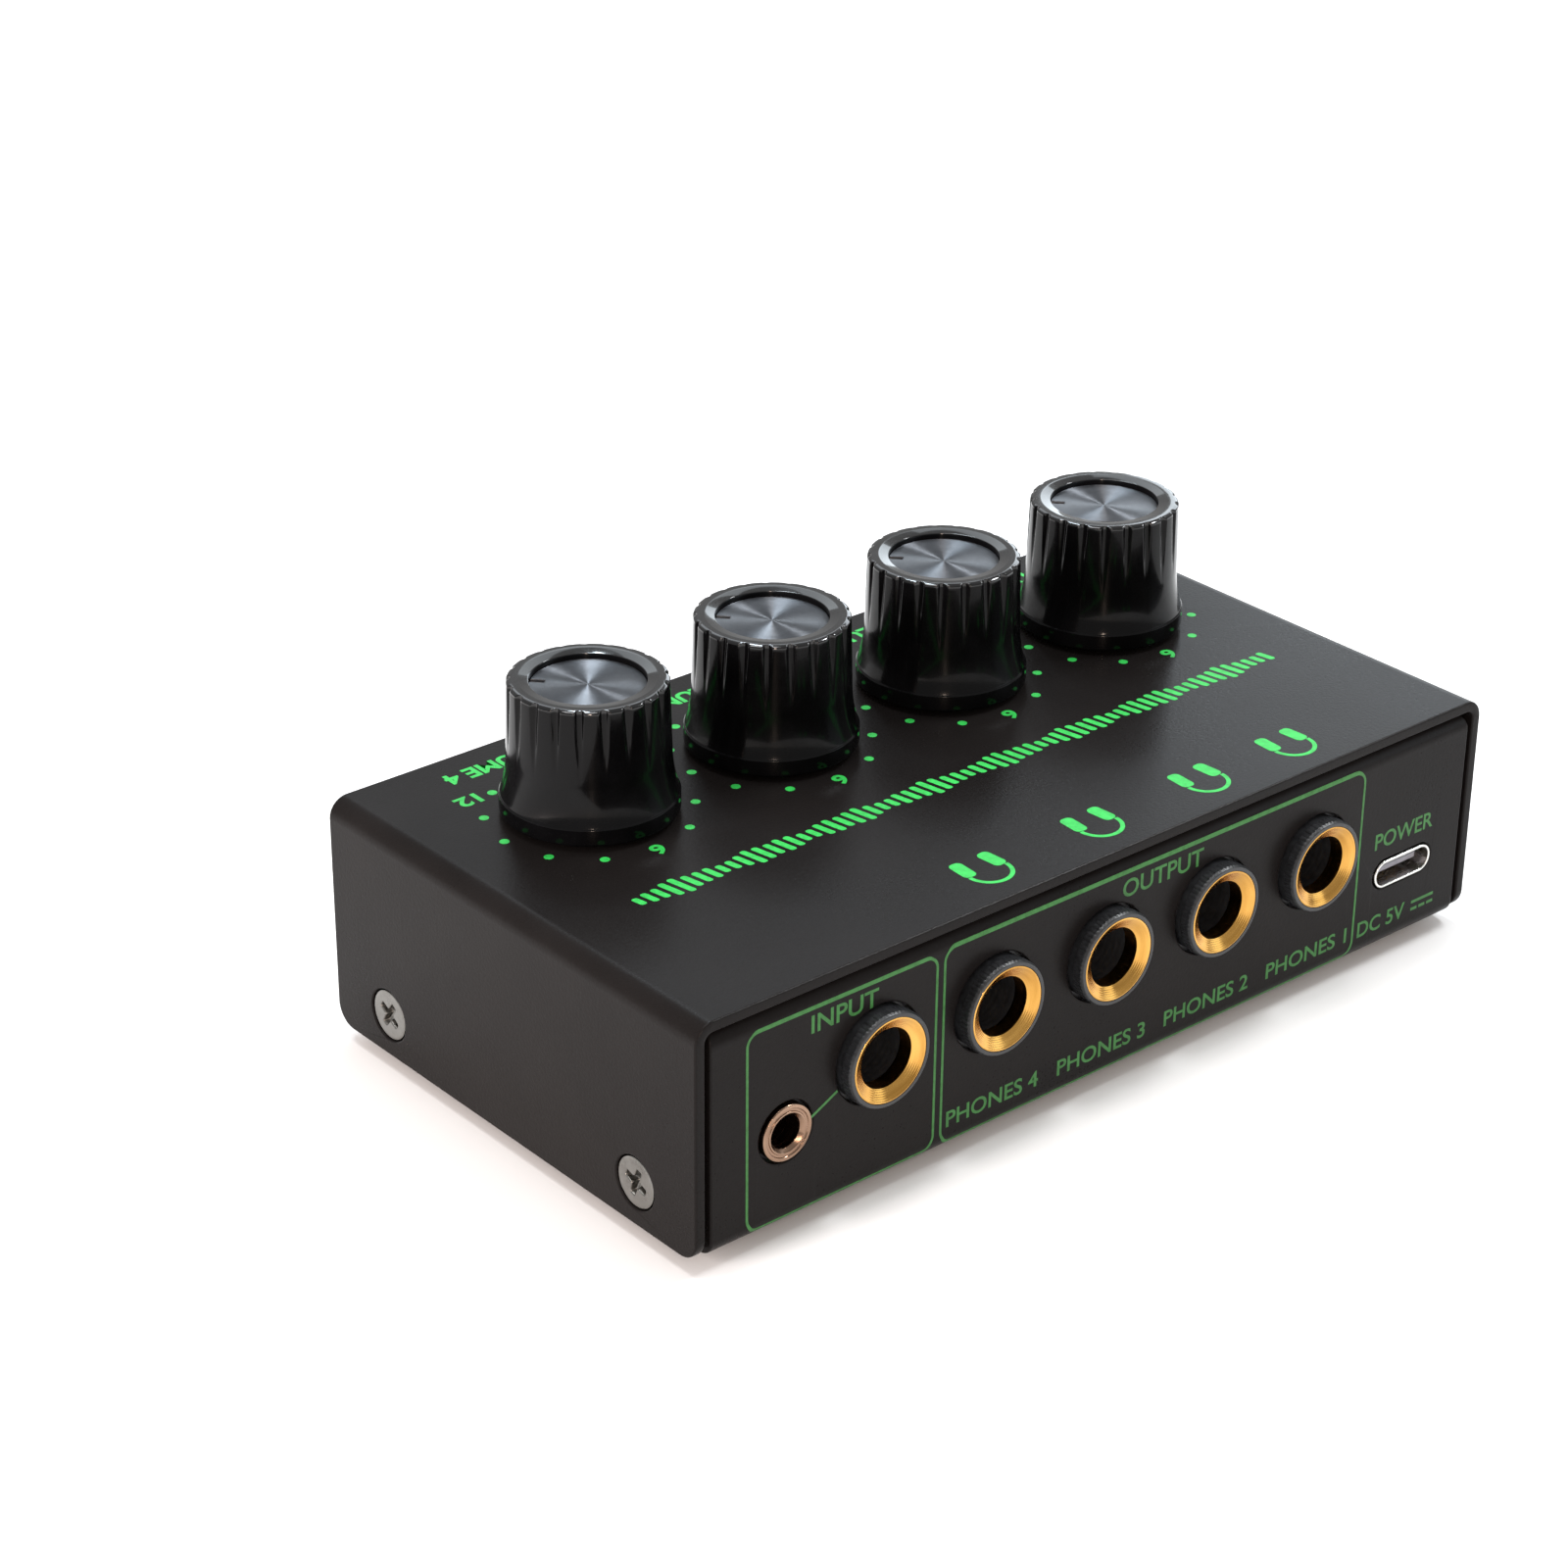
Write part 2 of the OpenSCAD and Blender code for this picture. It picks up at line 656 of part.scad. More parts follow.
module board_header() {
    height = pot_board_z - board_top_z;
    len = header_pins_n * header_pitch;
    color([0.08, 0.08, 0.08])
    translate([0, 0, board_top_z]) difference() {
        translate([knob_row_x - len / 2, header_y - header_pitch, 0]) cube([len, 2 * header_pitch, height]);
        for (spot = header_spots())
            translate([spot[0] - header_pin_w / 2 - seat_fit, spot[1] - header_pin_w / 2 - seat_fit, -cut])
                cube([header_pin_w + 2 * seat_fit, header_pin_w + 2 * seat_fit, height + 2 * cut]);
    }
}

module header_pins() {
    bottom_z = board_z - header_over;
    color([0.85, 0.7, 0.35])
    for (spot = header_spots())
        translate([spot[0] - header_pin_w / 2, spot[1] - header_pin_w / 2, bottom_z])
            cube([header_pin_w, header_pin_w, pot_board_z + board_t + header_over - bottom_z]);
}

module main_board() {
    color([0.08, 0.3, 0.15])
    translate([0, 0, board_z]) difference() {
        translate([-board_half_w, board_front_y, 0])
            cube([2 * board_half_w, board_back_y - board_front_y, board_t]);
        for (spot = standoff_spots)
            translate([spot[0], spot[1], -cut]) cylinder(r = board_screw_r + pass_fit, h = board_t + 2 * cut);
        for (number = jack_numbers, spring = jack_springs)
            spring_hole(jack_x(number), spring);
        for (spring = mini_springs) spring_hole(mini_x, spring);
        for (spot = header_spots())
            translate([spot[0], spot[1], -cut]) cylinder(r = header_hole_r, h = board_t + 2 * cut);
    }
}

module standoffs() {
    color([0.72, 0.6, 0.32])
    for (spot = standoff_spots)
        translate([spot[0], spot[1], 0]) difference() {
            union() {
                translate([0, 0, foot_h]) cylinder(r = spigot_r, h = sheet_t);
                translate([0, 0, floor_z]) cylinder(r = standoff_r, h = standoff_h);
            }
            translate([0, 0, foot_h - cut])
                cylinder(r = board_screw_r + seat_fit, h = standoff_h + sheet_t + 2 * cut);
        }
}

module board_screws() {
    color([0.7, 0.7, 0.7])
    for (spot = standoff_spots)
        translate([spot[0], spot[1], board_top_z]) difference() {
            union() {
                cylinder(r = board_screw_head_r, h = board_screw_head_h);
                translate([0, 0, -board_screw_len]) cylinder(r = board_screw_r, h = board_screw_len + weld);
            }
            translate([0, 0, board_screw_head_h]) cross_recess(2.4, 0.9);
        }
}

// ---- jacks ----

// Distance of a spring's pin from the jack's axis
function pin_x(spring) = spring[2] + spring_nib + spring_t / 2;

module spring_hole(axis_x, spring) {
    translate([axis_x + spring[0] * pin_x(spring), panel_in_y + spring[1], -cut])
        cylinder(r = pin_hole_r, h = board_t + 2 * cut);
}

// Leaf spring beside the bore: its nib points at the axis and its foot goes through the board
module contact_spring(axis_x, axis_z, spring) {
    near = spring[2];
    far = near + spring_nib;
    low = 1.1;           // where the spring starts to lean in, below the axis
    bend = 0.5;          // height of the nib
    high = 1.7;          // where the spring ends, above the axis
    inner = [[far, board_top_z - axis_z], [far, -low], [near, -bend / 2], [near, bend / 2], [far, high]];
    outer = [for (i = [len(inner) - 1 : -1 : 0]) inner[i] + [spring_t, 0]];
    translate([axis_x, panel_in_y + spring[1], axis_z]) flip(spring[0]) {
        run_along_y(-spring_w / 2, spring_w) polygon(concat(inner, outer));
        translate([far, -pin_w / 2, board_z - pin_below - axis_z])
            cube([spring_t, pin_w, board_t + pin_below + weld]);
    }
}

// Pocket of a housing round one spring, open to the bore and to the board
module spring_pocket(axis_x, axis_z, spring, bore_r) {
    near = min(bore_r, spring[2]) - 2 * spring_room;
    far = spring[2] + spring_nib + spring_t + spring_room;
    width = spring_w + 2 * spring_room;
    below = 2;           // reach of the wide part of the pocket under and over the axis
    above = 2.2;
    translate([axis_x, panel_in_y + spring[1], axis_z]) flip(spring[0]) {
        translate([near, -width / 2, -below]) cube([far - near, width, below + above]);
        translate([far - spring_t - 2 * spring_room, -width / 2, board_top_z - axis_z - cut])
            cube([spring_t + 2 * spring_room, width, axis_z - board_top_z + cut]);
    }
}

module jack_housing(number) {
    x = jack_x(number);
    nose_y = front_y - jack_proud;
    edge = 0.3;
    color([0.05, 0.05, 0.055])
    difference() {
        union() {
            translate([x - jack_body_w / 2, panel_in_y, board_top_z])
                cube([jack_body_w, jack_body_d, jack_body_h]);
            rod_y(x, nose_y + edge, jack_z, jack_nose_r, jack_proud + sheet_t - edge + weld);
            translate([x, nose_y, jack_z]) rotate([-90, 0, 0])
                cylinder(r1 = jack_nose_r - edge / 2, r2 = jack_nose_r, h = edge);
        }
        rod_y(x, nose_y - cut, jack_z, jack_ring_r + seat_fit, jack_ring_len + cut);
        rod_y(x, nose_y, jack_z, jack_channel_r, jack_proud + sheet_t + jack_body_d + cut);
        for (spring = jack_springs) spring_pocket(x, jack_z, spring, jack_channel_r);
    }
}

// Turned ring with a cone in its mouth
module jack_ring(number) {
    color([0.83, 0.62, 0.25])
    translate([jack_x(number), front_y - jack_proud, jack_z]) rotate([-90, 0, 0]) rotate_extrude()
        polygon([[plug_bore_r, jack_ring_len], [jack_ring_r, jack_ring_len], [jack_ring_r, ring_edge],
                 [jack_ring_r - ring_edge, 0], [jack_ring_r - jack_lip, 0], [plug_bore_r, jack_cone]]);
}

module jack_contacts(number) {
    color([0.8, 0.76, 0.66])
    for (spring = jack_springs) contact_spring(jack_x(number), jack_z, spring);
}

module mini_jack_housing() {
    color([0.05, 0.05, 0.055])
    difference() {
        translate([mini_x - mini_body_w / 2, panel_in_y, board_top_z])
            cube([mini_body_w, mini_body_d, mini_body_h]);
        rod_y(mini_x, panel_in_y - cut, mini_z, mini_tail_r + seat_fit,
              mini_ring_len - mini_proud - sheet_t + cut);
        rod_y(mini_x, panel_in_y - cut, mini_z, mini_channel_r, mini_body_d + 2 * cut);
        for (spring = mini_springs) spring_pocket(mini_x, mini_z, spring, mini_channel_r);
    }
}

// Ring with a wide head in the panel and a narrower tail in the housing
module mini_jack_ring() {
    head_len = mini_proud + sheet_t - seat_fit;
    color([0.75, 0.6, 0.48])
    translate([mini_x, front_y - mini_proud, mini_z]) rotate([-90, 0, 0]) rotate_extrude()
        polygon([[mini_bore_r, mini_ring_len], [mini_tail_r, mini_ring_len], [mini_tail_r, head_len],
                 [mini_ring_r, head_len], [mini_ring_r, ring_edge], [mini_ring_r - ring_edge, 0],
                 [mini_bore_r + mini_lip, 0], [mini_bore_r, mini_cone]]);
}

module mini_jack_contacts() {
    color([0.8, 0.76, 0.66])
    for (spring = mini_springs) contact_spring(mini_x, mini_z, spring);
}

// ---- power socket ----

usb_face_y = front_y - usb_proud;
usb_back_t = 1.4;        // moulded block that closes the shell's back
tongue_w = 6.69;
tongue_t = 0.7;
tongue_back = 1.1;       // how far the tongue stops short of the mouth
usb_pads = 8;
usb_pad_pitch = 0.7;
usb_pad_t = 0.05;

module usb_c_shell() {
    color([0.72, 0.72, 0.72])
    translate([usb_x, 0, usb_z]) run_along_y(usb_face_y, usb_d) difference() {
        slot_shape(usb_w, usb_h);
        slot_shape(usb_w - 2 * usb_wall, usb_h - 2 * usb_wall);
    }
}

module usb_c_tongue() {
    back_y0 = usb_face_y + usb_d - usb_back_t;
    color([0.06, 0.06, 0.06])
    translate([usb_x, 0, usb_z]) {
        run_along_y(back_y0, usb_back_t) slot_shape(usb_w - 2 * usb_wall, usb_h - 2 * usb_wall);
        translate([-tongue_w / 2, usb_face_y + tongue_back, -tongue_t / 2])
            cube([tongue_w, usb_d - usb_back_t - tongue_back + weld, tongue_t]);
    }
}

module usb_c_contacts() {
    color([0.85, 0.68, 0.35])
    for (i = [0 : usb_pads - 1], side = [-1, 1])
        translate([usb_x + (i - (usb_pads - 1) / 2) * usb_pad_pitch - usb_pad_pitch / 4,
                   usb_face_y + tongue_back + 0.5, usb_z + side * (tongue_t + usb_pad_t) / 2 - usb_pad_t / 2])
            cube([usb_pad_pitch / 2, 3.6, usb_pad_t]);
}

// ---- circuit ----

// Eight-lead chip that stands on its leads at the origin
module chip() {
    w = 4.9;
    d = 3.9;
    h = 1.5;
    side_leads = 4;
    lead_pitch = 1.27;
    lead_w = 0.4;
    lead_t = 0.2;
    lead_out = 1;
    translate([-w / 2, -d / 2, lead_t / 2]) cube([w, d, h]);
    for (i = [0 : side_leads - 1])
        translate([(i - (side_leads - 1) / 2) * lead_pitch - lead_w / 2, -d / 2 - lead_out, 0])
            cube([lead_w, d + 2 * lead_out, lead_t]);
}

// One amplifier under each volume control and a regulator near the power socket
module amplifier_chips() {
    color([0.1, 0.1, 0.1]) {
        for (number = knob_numbers) translate([knob_x(number), knob_y - 1.5, board_top_z]) chip();
        translate([usb_x, knob_y - 7, board_top_z]) chip();
    }
}

module output_capacitors() {
    can_r = 3.15;
    can_h = 7.6;
    seat_h = 1.2;
    pair_gap = 1.2;
    pair_pitch = knob_pitch * 0.78;
    color([0.72, 0.73, 0.76])
    for (number = knob_numbers, side = [-0.5, 0.5])
        translate([pair_pitch * ((knob_count + 1) / 2 - number) + side * (2 * can_r + pair_gap),
                   board_back_y - can_r - 1, board_top_z]) {
            translate([-can_r, -can_r, 0]) cube([2 * can_r, 2 * can_r, seat_h]);
            cylinder(r = can_r, h = can_h);
        }
}

module power_inductor() {
    size = 4.4;
    color([0.3, 0.3, 0.32])
    translate([usb_x, front_y + 14.4, board_top_z]) difference() {
        union() {
            translate([-size / 2, -size / 2, 0]) cube([size, size, 0.8]);
            cylinder(r = size / 2 - 0.1, h = 3);
        }
        translate([0, 0, 1]) difference() {
            cylinder(r = size, h = 1.2);
            cylinder(r = size / 2 - 0.6, h = 1.2);
        }
    }
}

top_cover();
chassis_tray();
case_screws();
rubber_feet();
knob(1);  // knob_1
knob(2);  // knob_2
knob(3);  // knob_3
knob(4);  // knob_4
knob_cap(1);  // knob_cap_1
knob_cap(2);  // knob_cap_2
knob_cap(3);  // knob_cap_3
knob_cap(4);  // knob_cap_4
pot_shaft(1);  // pot_shaft_1
pot_shaft(2);  // pot_shaft_2
pot_shaft(3);  // pot_shaft_3
pot_shaft(4);  // pot_shaft_4
pot_can(1);  // pot_can_1
pot_can(2);  // pot_can_2
pot_can(3);  // pot_can_3
pot_can(4);  // pot_can_4
pot_base(1);  // pot_base_1
pot_base(2);  // pot_base_2
pot_base(3);  // pot_base_3
pot_base(4);  // pot_base_4
pot_nuts();
pot_washers();
pot_terminals();
pot_board();
board_header();
header_pins();
main_board();
standoffs();
board_screws();
jack_housing(0);  // input_jack_housing
jack_housing(1);  // phones_jack_housing_1
jack_housing(2);  // phones_jack_housing_2
jack_housing(3);  // phones_jack_housing_3
jack_housing(4);  // phones_jack_housing_4
jack_ring(0);  // input_jack_ring
jack_ring(1);  // phones_jack_ring_1
jack_ring(2);  // phones_jack_ring_2
jack_ring(3);  // phones_jack_ring_3
jack_ring(4);  // phones_jack_ring_4
jack_contacts(0);  // input_jack_contacts
jack_contacts(1);  // phones_jack_contacts_1
jack_contacts(2);  // phones_jack_contacts_2
jack_contacts(3);  // phones_jack_contacts_3
jack_contacts(4);  // phones_jack_contacts_4
mini_jack_housing();
mini_jack_ring();
mini_jack_contacts();
usb_c_shell();
usb_c_tongue();
usb_c_contacts();
amplifier_chips();
output_capacitors();
power_inductor();
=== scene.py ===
import json
import math

import bmesh
import bpy
import numpy as np
from mathutils import Matrix, Vector


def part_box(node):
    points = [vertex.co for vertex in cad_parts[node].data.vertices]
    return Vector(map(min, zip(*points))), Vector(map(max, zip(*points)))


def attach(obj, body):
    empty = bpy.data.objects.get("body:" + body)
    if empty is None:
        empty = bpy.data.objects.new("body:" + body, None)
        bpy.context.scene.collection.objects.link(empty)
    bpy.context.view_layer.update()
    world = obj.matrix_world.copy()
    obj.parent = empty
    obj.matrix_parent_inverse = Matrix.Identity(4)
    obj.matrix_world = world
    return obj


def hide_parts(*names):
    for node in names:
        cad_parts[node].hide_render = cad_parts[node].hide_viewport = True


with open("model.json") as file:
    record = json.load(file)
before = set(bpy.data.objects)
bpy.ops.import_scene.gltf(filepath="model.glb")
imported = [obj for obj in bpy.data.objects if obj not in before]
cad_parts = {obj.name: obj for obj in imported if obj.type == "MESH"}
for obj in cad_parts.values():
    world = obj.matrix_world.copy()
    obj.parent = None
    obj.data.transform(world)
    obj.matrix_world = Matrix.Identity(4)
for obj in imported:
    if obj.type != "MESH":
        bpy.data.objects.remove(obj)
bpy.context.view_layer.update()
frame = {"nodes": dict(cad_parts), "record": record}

mm = 0.001
half = math.pi / 2
print("frame loaded:", len(frame["nodes"]), "nodes")

# camera: where it stands about the case, in mm and degrees
cameraPlace = {
    "azimuth": -40.5567, "elevation": 27.0949, "roll": 0.4814, "distance": 411.803,
    "side": -14.323, "rise": 19.410, "middle": (0.0, 0.9, 1.5), "lens": 87.14,
}


def addCamera(place):
    # the axes of a camera that looks at the middle from an azimuth and an elevation, then rolled
    az, el, roll = (math.radians(place[k]) for k in ("azimuth", "elevation", "roll"))
    back = Vector((math.sin(az) * math.cos(el), -math.cos(az) * math.cos(el), math.sin(el)))
    right = Vector((math.cos(az), math.sin(az), 0))
    up = back.cross(right)
    right, up = (right * math.cos(roll) + up * math.sin(roll), up * math.cos(roll) - right * math.sin(roll))
    spot = back * place["distance"] + right * place["side"] + up * place["rise"] + Vector(place["middle"])
    lens = bpy.data.cameras.new("studioCamera")
    lens.lens = place["lens"]
    lens.sensor_width = 36
    lens.clip_start = 0.01
    camera = bpy.data.objects.new("studioCamera", lens)
    bpy.context.scene.collection.objects.link(camera)
    camera.matrix_world = Matrix.Translation(spot * mm) @ Matrix((right, up, back)).transposed().to_4x4()
    bpy.context.scene.camera = camera


addCamera(cameraPlace)
bpy.context.scene.view_settings.view_transform = "Standard"
print("camera placed")


# shader helpers
class Wire:
    # a value in a material: sums and products with other values add Math nodes

    def __init__(self, paint, socket):
        self.paint, self.socket = paint, socket

    def _with(self, operation, a, b):
        return self.paint.add("ShaderNodeMath", {"operation": operation}, {0: a, 1: b})

    def __add__(self, other): return self._with("ADD", self, other)
    def __mul__(self, other): return self._with("MULTIPLY", self, other)


class Paint:
    # one material with its nodes

    def __init__(self, name, **constants):
        self.material = bpy.data.materials.new(name)
        self.material.use_nodes = True
        self.tree = self.material.node_tree
        self.shader = self.tree.nodes["Principled BSDF"]
        for socket, value in constants.items():
            self.shader.inputs[socket.replace("_", " ")].default_value = value
        self.place = self.add("ShaderNodeTexCoord", {}, {}, "Object")

    def add(self, kind, settings, inputs, output=0):
        node = self.tree.nodes.new(kind)
        for key, value in settings.items():
            setattr(node, key, value)
        for key, value in inputs.items():
            if isinstance(value, Wire):
                self.tree.links.new(value.socket, node.inputs[key])
            else:
                node.inputs[key].default_value = value
        return Wire(self, node.outputs[output])

    def stretched(self, scale):
        return self.add("ShaderNodeMapping", {}, {"Vector": self.place, "Scale": scale})

    def noise(self, scale, detail=3.0, rough=0.55, where=None):
        return self.add("ShaderNodeTexNoise", {},
                        {"Vector": where or self.place, "Scale": scale, "Detail": detail, "Roughness": rough})

    def cells(self, scale):
        return self.add("ShaderNodeTexVoronoi", {"feature": "F1"},
                        {"Vector": self.place, "Scale": scale}, "Distance")

    def between(self, value, low, high, fromLow=0.0, fromHigh=1.0):
        # low at fromLow rising to high at fromHigh, level beyond them
        return self.add("ShaderNodeMapRange", {"clamp": True},
                        {"Value": value, "From Min": fromLow, "From Max": fromHigh,
                         "To Min": low, "To Max": high})

    def blend(self, factor, a, b):
        # a where the factor is 0, b where it is 1
        node = self.tree.nodes.new("ShaderNodeMix")
        node.data_type = "RGBA"
        for index, value in ((0, factor), (6, a), (7, b)):
            if isinstance(value, Wire):
                self.tree.links.new(value.socket, node.inputs[index])
            else:
                node.inputs[index].default_value = (*value, 1) if isinstance(value, tuple) else value
        return Wire(self, node.outputs[2])

    def relief(self, height, distance, strength=1.0, under=None):
        inputs = {"Height": height, "Distance": distance, "Strength": strength}
        if under is not None:
            inputs["Normal"] = under
        return self.add("ShaderNodeBump", {}, inputs)

    def feed(self, **sockets):
        for socket, value in sockets.items():
            self.tree.links.new(value.socket, self.shader.inputs[socket.replace("_", " ")])
        return self.material


# finishes, by the record's material slot
def powderCoat():
    # satin coat: fine orange peel over a cloudy tone, with sparse duller specks
    s = {"dark": (0.0066, 0.0056, 0.0054), "light": (0.0108, 0.0094, 0.0091), "peel": 2600, "cloud": 45}
    p = Paint("blackPowderCoat", Specular_IOR_Level=0.07)
    cloud, peel, fine = p.noise(s["cloud"], 4), p.noise(s["peel"], 2), p.noise(9000, 2)
    tone = p.between(cloud * 0.6 + fine * 0.4, 0, 1, 0.35, 0.65)
    return p.feed(Base_Color=p.blend(tone, s["dark"], s["light"]),
                  Roughness=p.between(cloud * 0.5 + peel * 0.5, 0.25, 0.36, 0.3, 0.7),
                  Normal=p.relief(fine, 0.00001, 0.35, p.relief(peel, 0.00003, 0.5)))


def knobPlastic():
    # polished black moulding with a faint handling haze; its coat gets glossier with height over the rim
    s = {"dark": (0.0016, 0.0016, 0.0018), "light": (0.004, 0.004, 0.0045),
         "rimLow": 0.04225, "rimHigh": 0.0424}
    p = Paint("knobPlastic", Specular_IOR_Level=0.09, Coat_Roughness=0.05)
    haze, dust = p.noise(160, 4), p.cells(1800)
    height = p.add("ShaderNodeSeparateXYZ", {}, {"Vector": p.place}, "Z")
    rim = p.between(height, 0, 0.75, s["rimLow"], s["rimHigh"])
    return p.feed(Base_Color=p.blend(p.between(haze, 0, 1, 0.4, 0.7), s["dark"], s["light"]),
                  Roughness=p.between(haze * 0.8 + dust * 0.2, 0.1, 0.2, 0.3, 0.7),
                  Coat_Weight=p.between(haze, 0.12, 0.04, 0.35, 0.7) + rim,
                  Normal=p.relief(p.noise(420, 2), 0.00002, 0.25))


def spunDisc():
    # dark anodised disc, turned on a lathe: the grain runs round it, so its shine is drawn out along radii
    p = Paint("spunDisc", Metallic=1.0, Anisotropic=0.97, Anisotropic_Rotation=0.25)
    streak, cloud = p.noise(2400, 2, 0.7), p.noise(240, 3)
    return p.feed(Base_Color=p.blend(p.between(cloud * 0.6 + streak * 0.4, 0, 1, 0.35, 0.65),
                                     (0.075, 0.079, 0.087), (0.13, 0.137, 0.15)),
                  Roughness=p.between(streak, 0.38, 0.45, 0.3, 0.7))


def metal(name, dark, light, roughLow, roughHigh, scale=700, grain=(1, 1, 1), depth=0.000004, strength=0.4,
          **more):
    # a worked metal: cloudy tone, tool marks along one axis and matching roughness
    p = Paint(name, Metallic=1.0, **more)
    marks = p.noise(scale, 4, 0.6, p.stretched(grain))
    cloud = p.noise(scale / 6, 3)
    return p.feed(Base_Color=p.blend(p.between(cloud * 0.5 + marks * 0.5, 0, 1, 0.32, 0.68), dark, light),
                  Roughness=p.between(marks, roughLow, roughHigh, 0.3, 0.7),
                  Normal=p.relief(marks, depth, strength))


def moulded(name, dark, light, roughLow, roughHigh, grain=2200, depth=0.00002, strength=0.5, **more):
    # an unpolished moulding or pressing: fine spark texture over a soft cloud
    p = Paint(name, **more)
    cloud, spark = p.noise(90, 4), p.noise(grain, 2)
    return p.feed(Base_Color=p.blend(p.between(cloud * 0.6 + spark * 0.4, 0, 1, 0.35, 0.65), dark, light),
                  Roughness=p.between(cloud * 0.4 + spark * 0.6, roughLow, roughHigh, 0.3, 0.7),
                  Normal=p.relief(spark, depth, strength))


def circuitBoard():
    # solder mask over a woven core, with lighter tracks where copper runs under it
    p = Paint("circuitBoard", Coat_Roughness=0.2, Coat_Weight=0.4)
    tracks = p.add("ShaderNodeTexBrick", {"offset": 0.5},
                   {"Vector": p.place, "Scale": 260.0, "Mortar Size": 0.05, "Color1": (0, 0, 0, 1),
                    "Color2": (0.25, 0.25, 0.25, 1), "Mortar": (1, 1, 1, 1)}, "Fac")
    weave = p.add("ShaderNodeTexWave", {"bands_direction": "DIAGONAL"},
                  {"Vector": p.place, "Scale": 900.0, "Distortion": 1.5})
    return p.feed(Base_Color=p.blend(tracks, (0.006, 0.06, 0.022), (0.012, 0.11, 0.04)),
                  Roughness=p.between(p.noise(300), 0.28, 0.42, 0.3, 0.7),
                  Normal=p.relief(tracks + weave * 0.2, 0.00002, 0.6))


def ink(name, thin, full, glow):
    # screen-printed ink: slightly uneven cover with pinholes, matt; glow makes it give off light in its own
    # colour, a painted glow
    p = Paint(name, Specular_IOR_Level=0.3)
    cover, pin = p.noise(1500, 3), p.noise(6000, 1)
    mask = p.between(cover * 0.7 + pin * 0.3, 0, 1, 0.3, 0.6)
    tone = p.blend(mask, thin, full)
    # painted light: the ink glows by this much though it is no lamp
    p.shader.inputs["Emission Strength"].default_value = glow
    return p.feed(Base_Color=tone, Emission_Color=tone, Roughness=p.between(pin, 0.45, 0.6, 0.3, 0.7),
                  Normal=p.relief(cover, 0.000006, 0.5))


finishes = {
    "black_powder_coat": powderCoat(),
    "nickel_screw": metal("nickelScrew", (0.176, 0.168, 0.155), (0.277, 0.269, 0.252), 0.24, 0.4, 900),
    "rubber": moulded("footRubber", (0.012, 0.012, 0.012), (0.022, 0.022, 0.022), 0.7, 0.85, 1500, 0.00004),
    "knob_plastic": knobPlastic(),
    "spun_disc": spunDisc(),
    "shaft_steel": metal("shaftSteel", (0.5, 0.5, 0.52), (0.66, 0.66, 0.68), 0.25, 0.36, 900, (1, 1, 0.1)),
    "plated_steel": metal("zincPlate", (0.46, 0.47, 0.46), (0.62, 0.62, 0.6), 0.28, 0.45, 500),
    "phenolic": moulded("phenolicBase", (0.1, 0.055, 0.025), (0.17, 0.1, 0.05), 0.5, 0.7, 1400),
    "contact_metal": metal("tinPlate", (0.6, 0.57, 0.5), (0.74, 0.7, 0.62), 0.22, 0.36, 800, (1, 1, 0.2)),
    "circuit_board": circuitBoard(),
    "black_nylon": moulded("blackNylon", (0.008, 0.0085, 0.0095), (0.02, 0.022, 0.025), 0.3, 0.5, 1700),
    "gold_pins": metal("goldFlash", (0.72, 0.5, 0.2), (0.86, 0.64, 0.3), 0.18, 0.28, 900),
    "brass": metal("turnedBrass", (0.6, 0.42, 0.16), (0.74, 0.55, 0.25), 0.25, 0.4, 900, (1, 1, 6)),
    "gold_ring": metal("goldPlate", (0.4, 0.19, 0.035), (0.78, 0.44, 0.115), 0.12, 0.24, 420, (0.3, 5, 0.3)),
    "copper_nickel": metal("copperNickel", (0.17, 0.1, 0.065), (0.38, 0.25, 0.175), 0.16, 0.3, 500,
                           (0.3, 5, 0.3)),
    "usb_steel": metal("drawnSteel", (0.6, 0.59, 0.56), (0.8, 0.79, 0.76), 0.18, 0.3, 700, (0.3, 2, 3)),
    "chip_epoxy": moulded("chipEpoxy", (0.012, 0.012, 0.013), (0.025, 0.025, 0.026), 0.45, 0.6, 2600),
    "capacitor_can": metal("drawnCan", (0.56, 0.57, 0.6), (0.72, 0.73, 0.76), 0.22, 0.34, 500, (1, 1, 0.15)),
    "ferrite": moulded("pressedFerrite", (0.03, 0.03, 0.033), (0.065, 0.065, 0.07), 0.55, 0.75, 1800),
}
# one green ink in two copies: the top's lighter copy is the ink painted as lit, and it glows a little; the
# panel's darker copy is partly thinner ink and partly painted shade
topInkLitAndGlowing = ink("greenInkTopLitAndGlowing", (0.015, 0.3, 0.045), (0.025, 0.45, 0.07), 0.06)
panelInkThinAndShaded = ink("greenInkPanelThinAndShaded", (0.022, 0.11, 0.02), (0.038, 0.17, 0.038), 0.0)
tongueFinish = moulded("greyMoulding", (0.16, 0.155, 0.18), (0.24, 0.235, 0.27), 0.35, 0.5, 1700)
slotOf = {row["node"]: row["material_slot"] for row in frame["record"]["subparts"]}
print("finishes mixed:", len(finishes))


